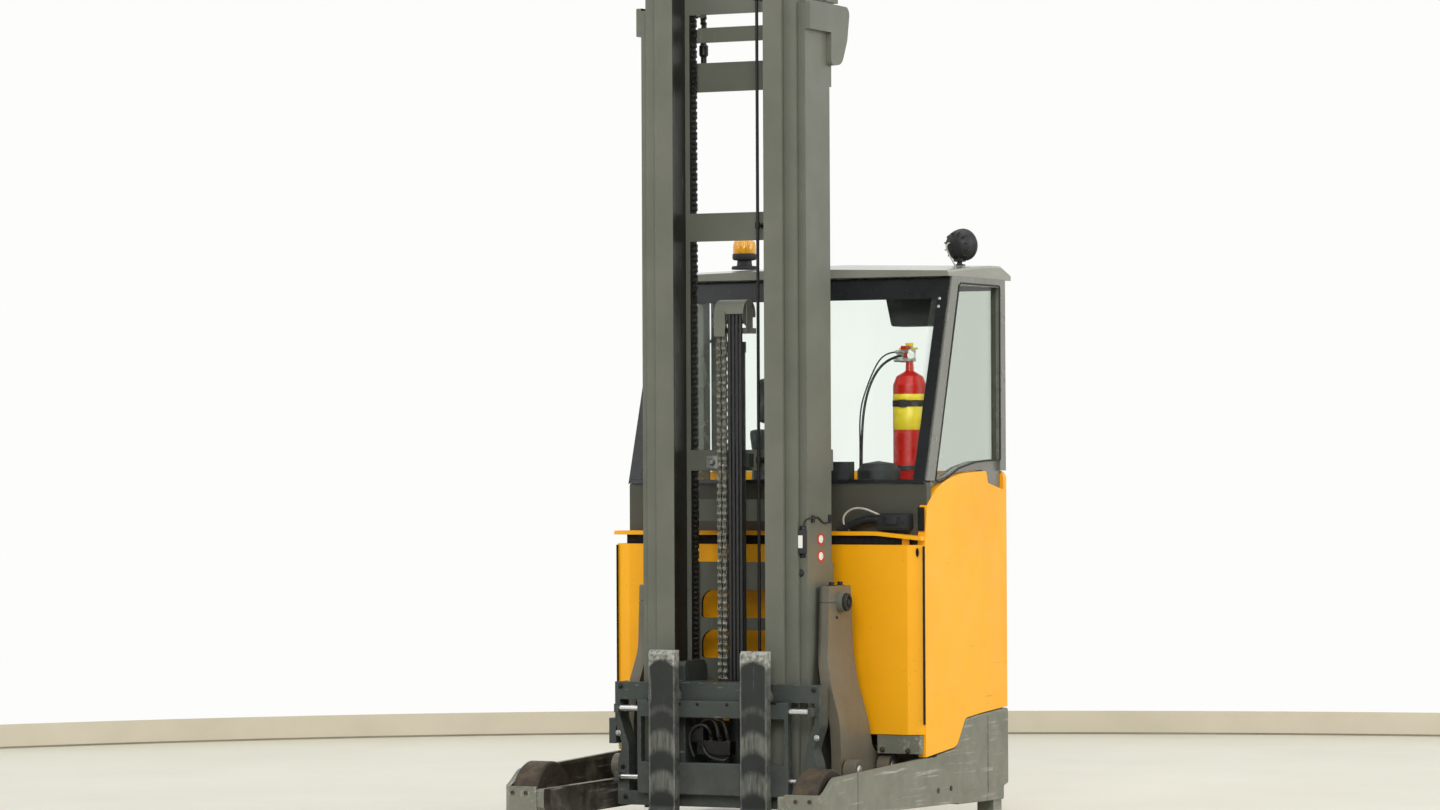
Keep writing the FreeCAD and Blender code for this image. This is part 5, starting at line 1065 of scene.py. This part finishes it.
def channel(piece, axis, places, depth, width, inward):
    """Presses sewn channels into a cushion's face, along one axis."""
    inward = Vector(inward)
    for vertex in piece.data.vertices:
        for place in places:
            off = abs(vertex.co[axis] - place) / width
            if off < 1:
                vertex.co += inward * depth * (1 - off * off) ** 2


def seat_cushions():
    """The driver's seat: a sprung cushion, a high backrest and the slide under them."""
    shape = bmesh.new()
    slab(shape, (-0.445, 0.790, 0.885), (-0.065, 1.070, 0.962), 0.030)
    cushion = swollen("seat_cushion", shape, cloth, 4.0, 0.022)
    channel(cushion, 0, (-0.345, -0.165), 0.006, 0.012, (0, 0, -1))
    shape = bmesh.new()
    slab(shape, (-0.415, 1.090, 0.925), (-0.091, 1.150, 1.500), 0.026)
    backrest = swollen("seat_backrest", shape, cloth, 3.0, 0.014)
    channel(backrest, 2, (1.10, 1.24, 1.38), 0.005, 0.012, (0, 1, 0))
    shape = bmesh.new()
    slab(shape, (-0.375, 1.092, 1.515), (-0.131, 1.148, 1.695), 0.028)
    swollen("seat_headrest", shape, cloth, 3.0, 0.010)
    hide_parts("seat")
    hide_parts("seat")
    shape = bmesh.new()
    slab(shape, (-0.400, 0.910, 0.8505), (-0.080, 1.100, 0.874), 0.004)
    slab(shape, (-0.430, 0.800, 0.872), (-0.080, 1.090, 0.884), 0.004)
    slab(shape, (-0.400, 1.125, 0.880), (-0.106, 1.158, 1.480), 0.010)
    for x in (-0.300, -0.206):
        turned(shape, (x, 1.128, 1.460), (0, 0, 1), [(0.006, 0), (0.006, 0.080)], 16)
    slide = ready("seat_frame", shape, black_abs, "chassis")
    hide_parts("seat")


for make in (battery_leads, mast_chains, mast_fittings, carriage_fittings, arm_fittings, lamp_and_beacon,
             extinguisher_dress, glazing, cover_fittings, seat_cushions):
    make()



# ---------------------------------------------------------------- studio
def room_finish(name, colour, shade, rough, size, white=None):
    """A matt surface of the room, faintly patchy and clear from behind; white is what the eye sees of it."""
    finish, place = start(name)
    tone = laid_over(finish, colour, shade, cloud(finish, place, size, 0.35, 0.7))
    fine = add(finish, "ShaderNodeTexNoise", {"Vector": place, "Scale": 60.0, "Detail": 3.0})
    relief = add(finish, "ShaderNodeBump", {"Height": fine.outputs[0], "Strength": 0.05, "Distance": 0.001})
    paint = add(finish, "ShaderNodeBsdfPrincipled",
                {"Base Color": tone, "Roughness": rough, "Normal": relief.outputs[0]})
    surface = paint.outputs[0]
    if white:
        path = add(finish, "ShaderNodeLightPath").outputs
        seen = path["Is Camera Ray"]
        for ray in ("Is Glossy Ray", "Is Transmission Ray"):
            seen = add(finish, "ShaderNodeMath", {0: seen, 1: path[ray]}, operation="MAXIMUM").outputs[0]
        glow = add(finish, "ShaderNodeEmission", {"Color": white, "Strength": 1.0})
        surface = add(finish, "ShaderNodeMixShader", {0: seen, 1: surface, 2: glow.outputs[0]}).outputs[0]
    behind = add(finish, "ShaderNodeNewGeometry").outputs["Backfacing"]
    clear = add(finish, "ShaderNodeBsdfTransparent")
    surface = add(finish, "ShaderNodeMixShader", {0: behind, 1: surface, 2: clear.outputs[0]}).outputs[0]
    add(finish, "ShaderNodeOutputMaterial", {"Surface": surface})
    return finish


# Sealed concrete floor, poured and power-trowelled: a pale warm grey with a faint sheen.
floor_paint = room_finish("floor_paint", "#d2cfc0", "#cbc8b7", 0.42, 900)
# Emulsion rolled on plaster: flat white.
wall_paint = room_finish("wall_paint", "#f6f6f2", "#f3f3ee", 0.8, 1500, "#fdfdfb")
# Painted skirting board: beige, a little smoother than the wall.
board_paint = room_finish("board_paint", "#cfc6b1", "#c6bda8", 0.5, 500)
# Painted shadow along the foot of the skirting board, where it meets the floor: dull brown-grey.
skirting_contact_shadow = room_finish("skirting_contact_shadow", "#8f8873", "#7d7661", 0.8, 300)


def sheet_of(name, near, far, finish):
    """A floor or a wall between two lines of points."""
    shape = bmesh.new()
    rows = [[shape.verts.new(point) for point in line] for line in (near, far)]
    for a, b, c, d in zip(rows[0], rows[0][1:], rows[1][1:], rows[1]):
        shape.faces.new((a, b, c, d))
    wall = placed(name, shape)
    wall.data.materials.append(finish)
    wall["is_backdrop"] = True


FLOOR_HALF = 18


def wall_line():
    """The foot of the rounded wall behind the truck, from left to right."""
    ahead = Vector((-math.sin(TURN), math.cos(TURN), 0))
    right = Vector((math.cos(TURN), math.sin(TURN), 0))
    for step in range(81):
        across = -10.0 + step * 0.25
        away = 22.6 - 0.085 * (across + 0.2) ** 2 if across < 1.0 else 22.48 - 0.055 * (across - 1.0) ** 2
        place = EYE + ahead * away + right * across
        yield place.x, place.y


def studio_air():
    """A soft bluish air round the room, plain white where the eye sees it."""
    world = bpy.data.worlds.new("studio_air")
    world.use_nodes = True
    world.node_tree.nodes.clear()
    path = add(world, "ShaderNodeLightPath").outputs
    seen = add(world, "ShaderNodeMath", {0: path["Is Camera Ray"], 1: path["Is Transmission Ray"]},
               operation="MAXIMUM")
    air = add(world, "ShaderNodeBackground", {"Color": "#f4f6fa", "Strength": 0.5})
    white = add(world, "ShaderNodeBackground", {"Color": "#fdfdfb"})
    both = add(world, "ShaderNodeMixShader", {0: seen.outputs[0], 1: air.outputs[0], 2: white.outputs[0]})
    add(world, "ShaderNodeOutputWorld", {"Surface": both.outputs[0]})
    scene.world = world


def studio():
    """A pale floor, a round white wall with a low skirting, and soft lamps."""
    half = FLOOR_HALF
    sheet_of("studio_floor", [(-half, -half, 0), (half, -half, 0)], [(-half, half, 0), (half, half, 0)],
             floor_paint)
    around = list(wall_line())
    for name, inset, low, high, finish in (
        ("studio_wall", 1.0, 0.11, 9.0, wall_paint),
        ("studio_skirting", 0.999, 0.0, 0.115, board_paint),
        ("studio_contact_shadow", 0.998, 0.0, 0.009, skirting_contact_shadow),
    ):
        near, far = ([(x * inset, y * inset, z) for x, y in around] for z in (low, high))
        sheet_of(name, near, far, finish)
    studio_air()
    for name, place, aim, size, power in (
        ("front_softbox", (4.0, -9.0, 6.0), (0, 0, 1.2), 5.0, 590),
        ("side_softbox", (9.0, 1.5, 4.5), (0, 0.4, 1.2), 5.0, 330),
        ("far_softbox", (-7.0, -5.0, 5.5), (0, 0.2, 1.2), 5.0, 230),
        ("top_softbox", (0.0, 1.0, 8.5), (0, 0.3, 0), 6.0, 230),
    ):
        lamp = bpy.data.lights.new(name, "AREA")
        lamp.size = size
        lamp.energy = power
        holder = bpy.data.objects.new(name, lamp)
        beam = (Vector(aim) - Vector(place)).to_track_quat("-Z", "Y")
        holder.matrix_world = Matrix.Translation(place) @ beam.to_matrix().to_4x4()
        scene.collection.objects.link(holder)


studio()
scene.view_settings.view_transform = "Standard"
bpy.context.view_layer.update()
[[list(map(float, corner)) for corner in box] for box in (cad_box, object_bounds())]
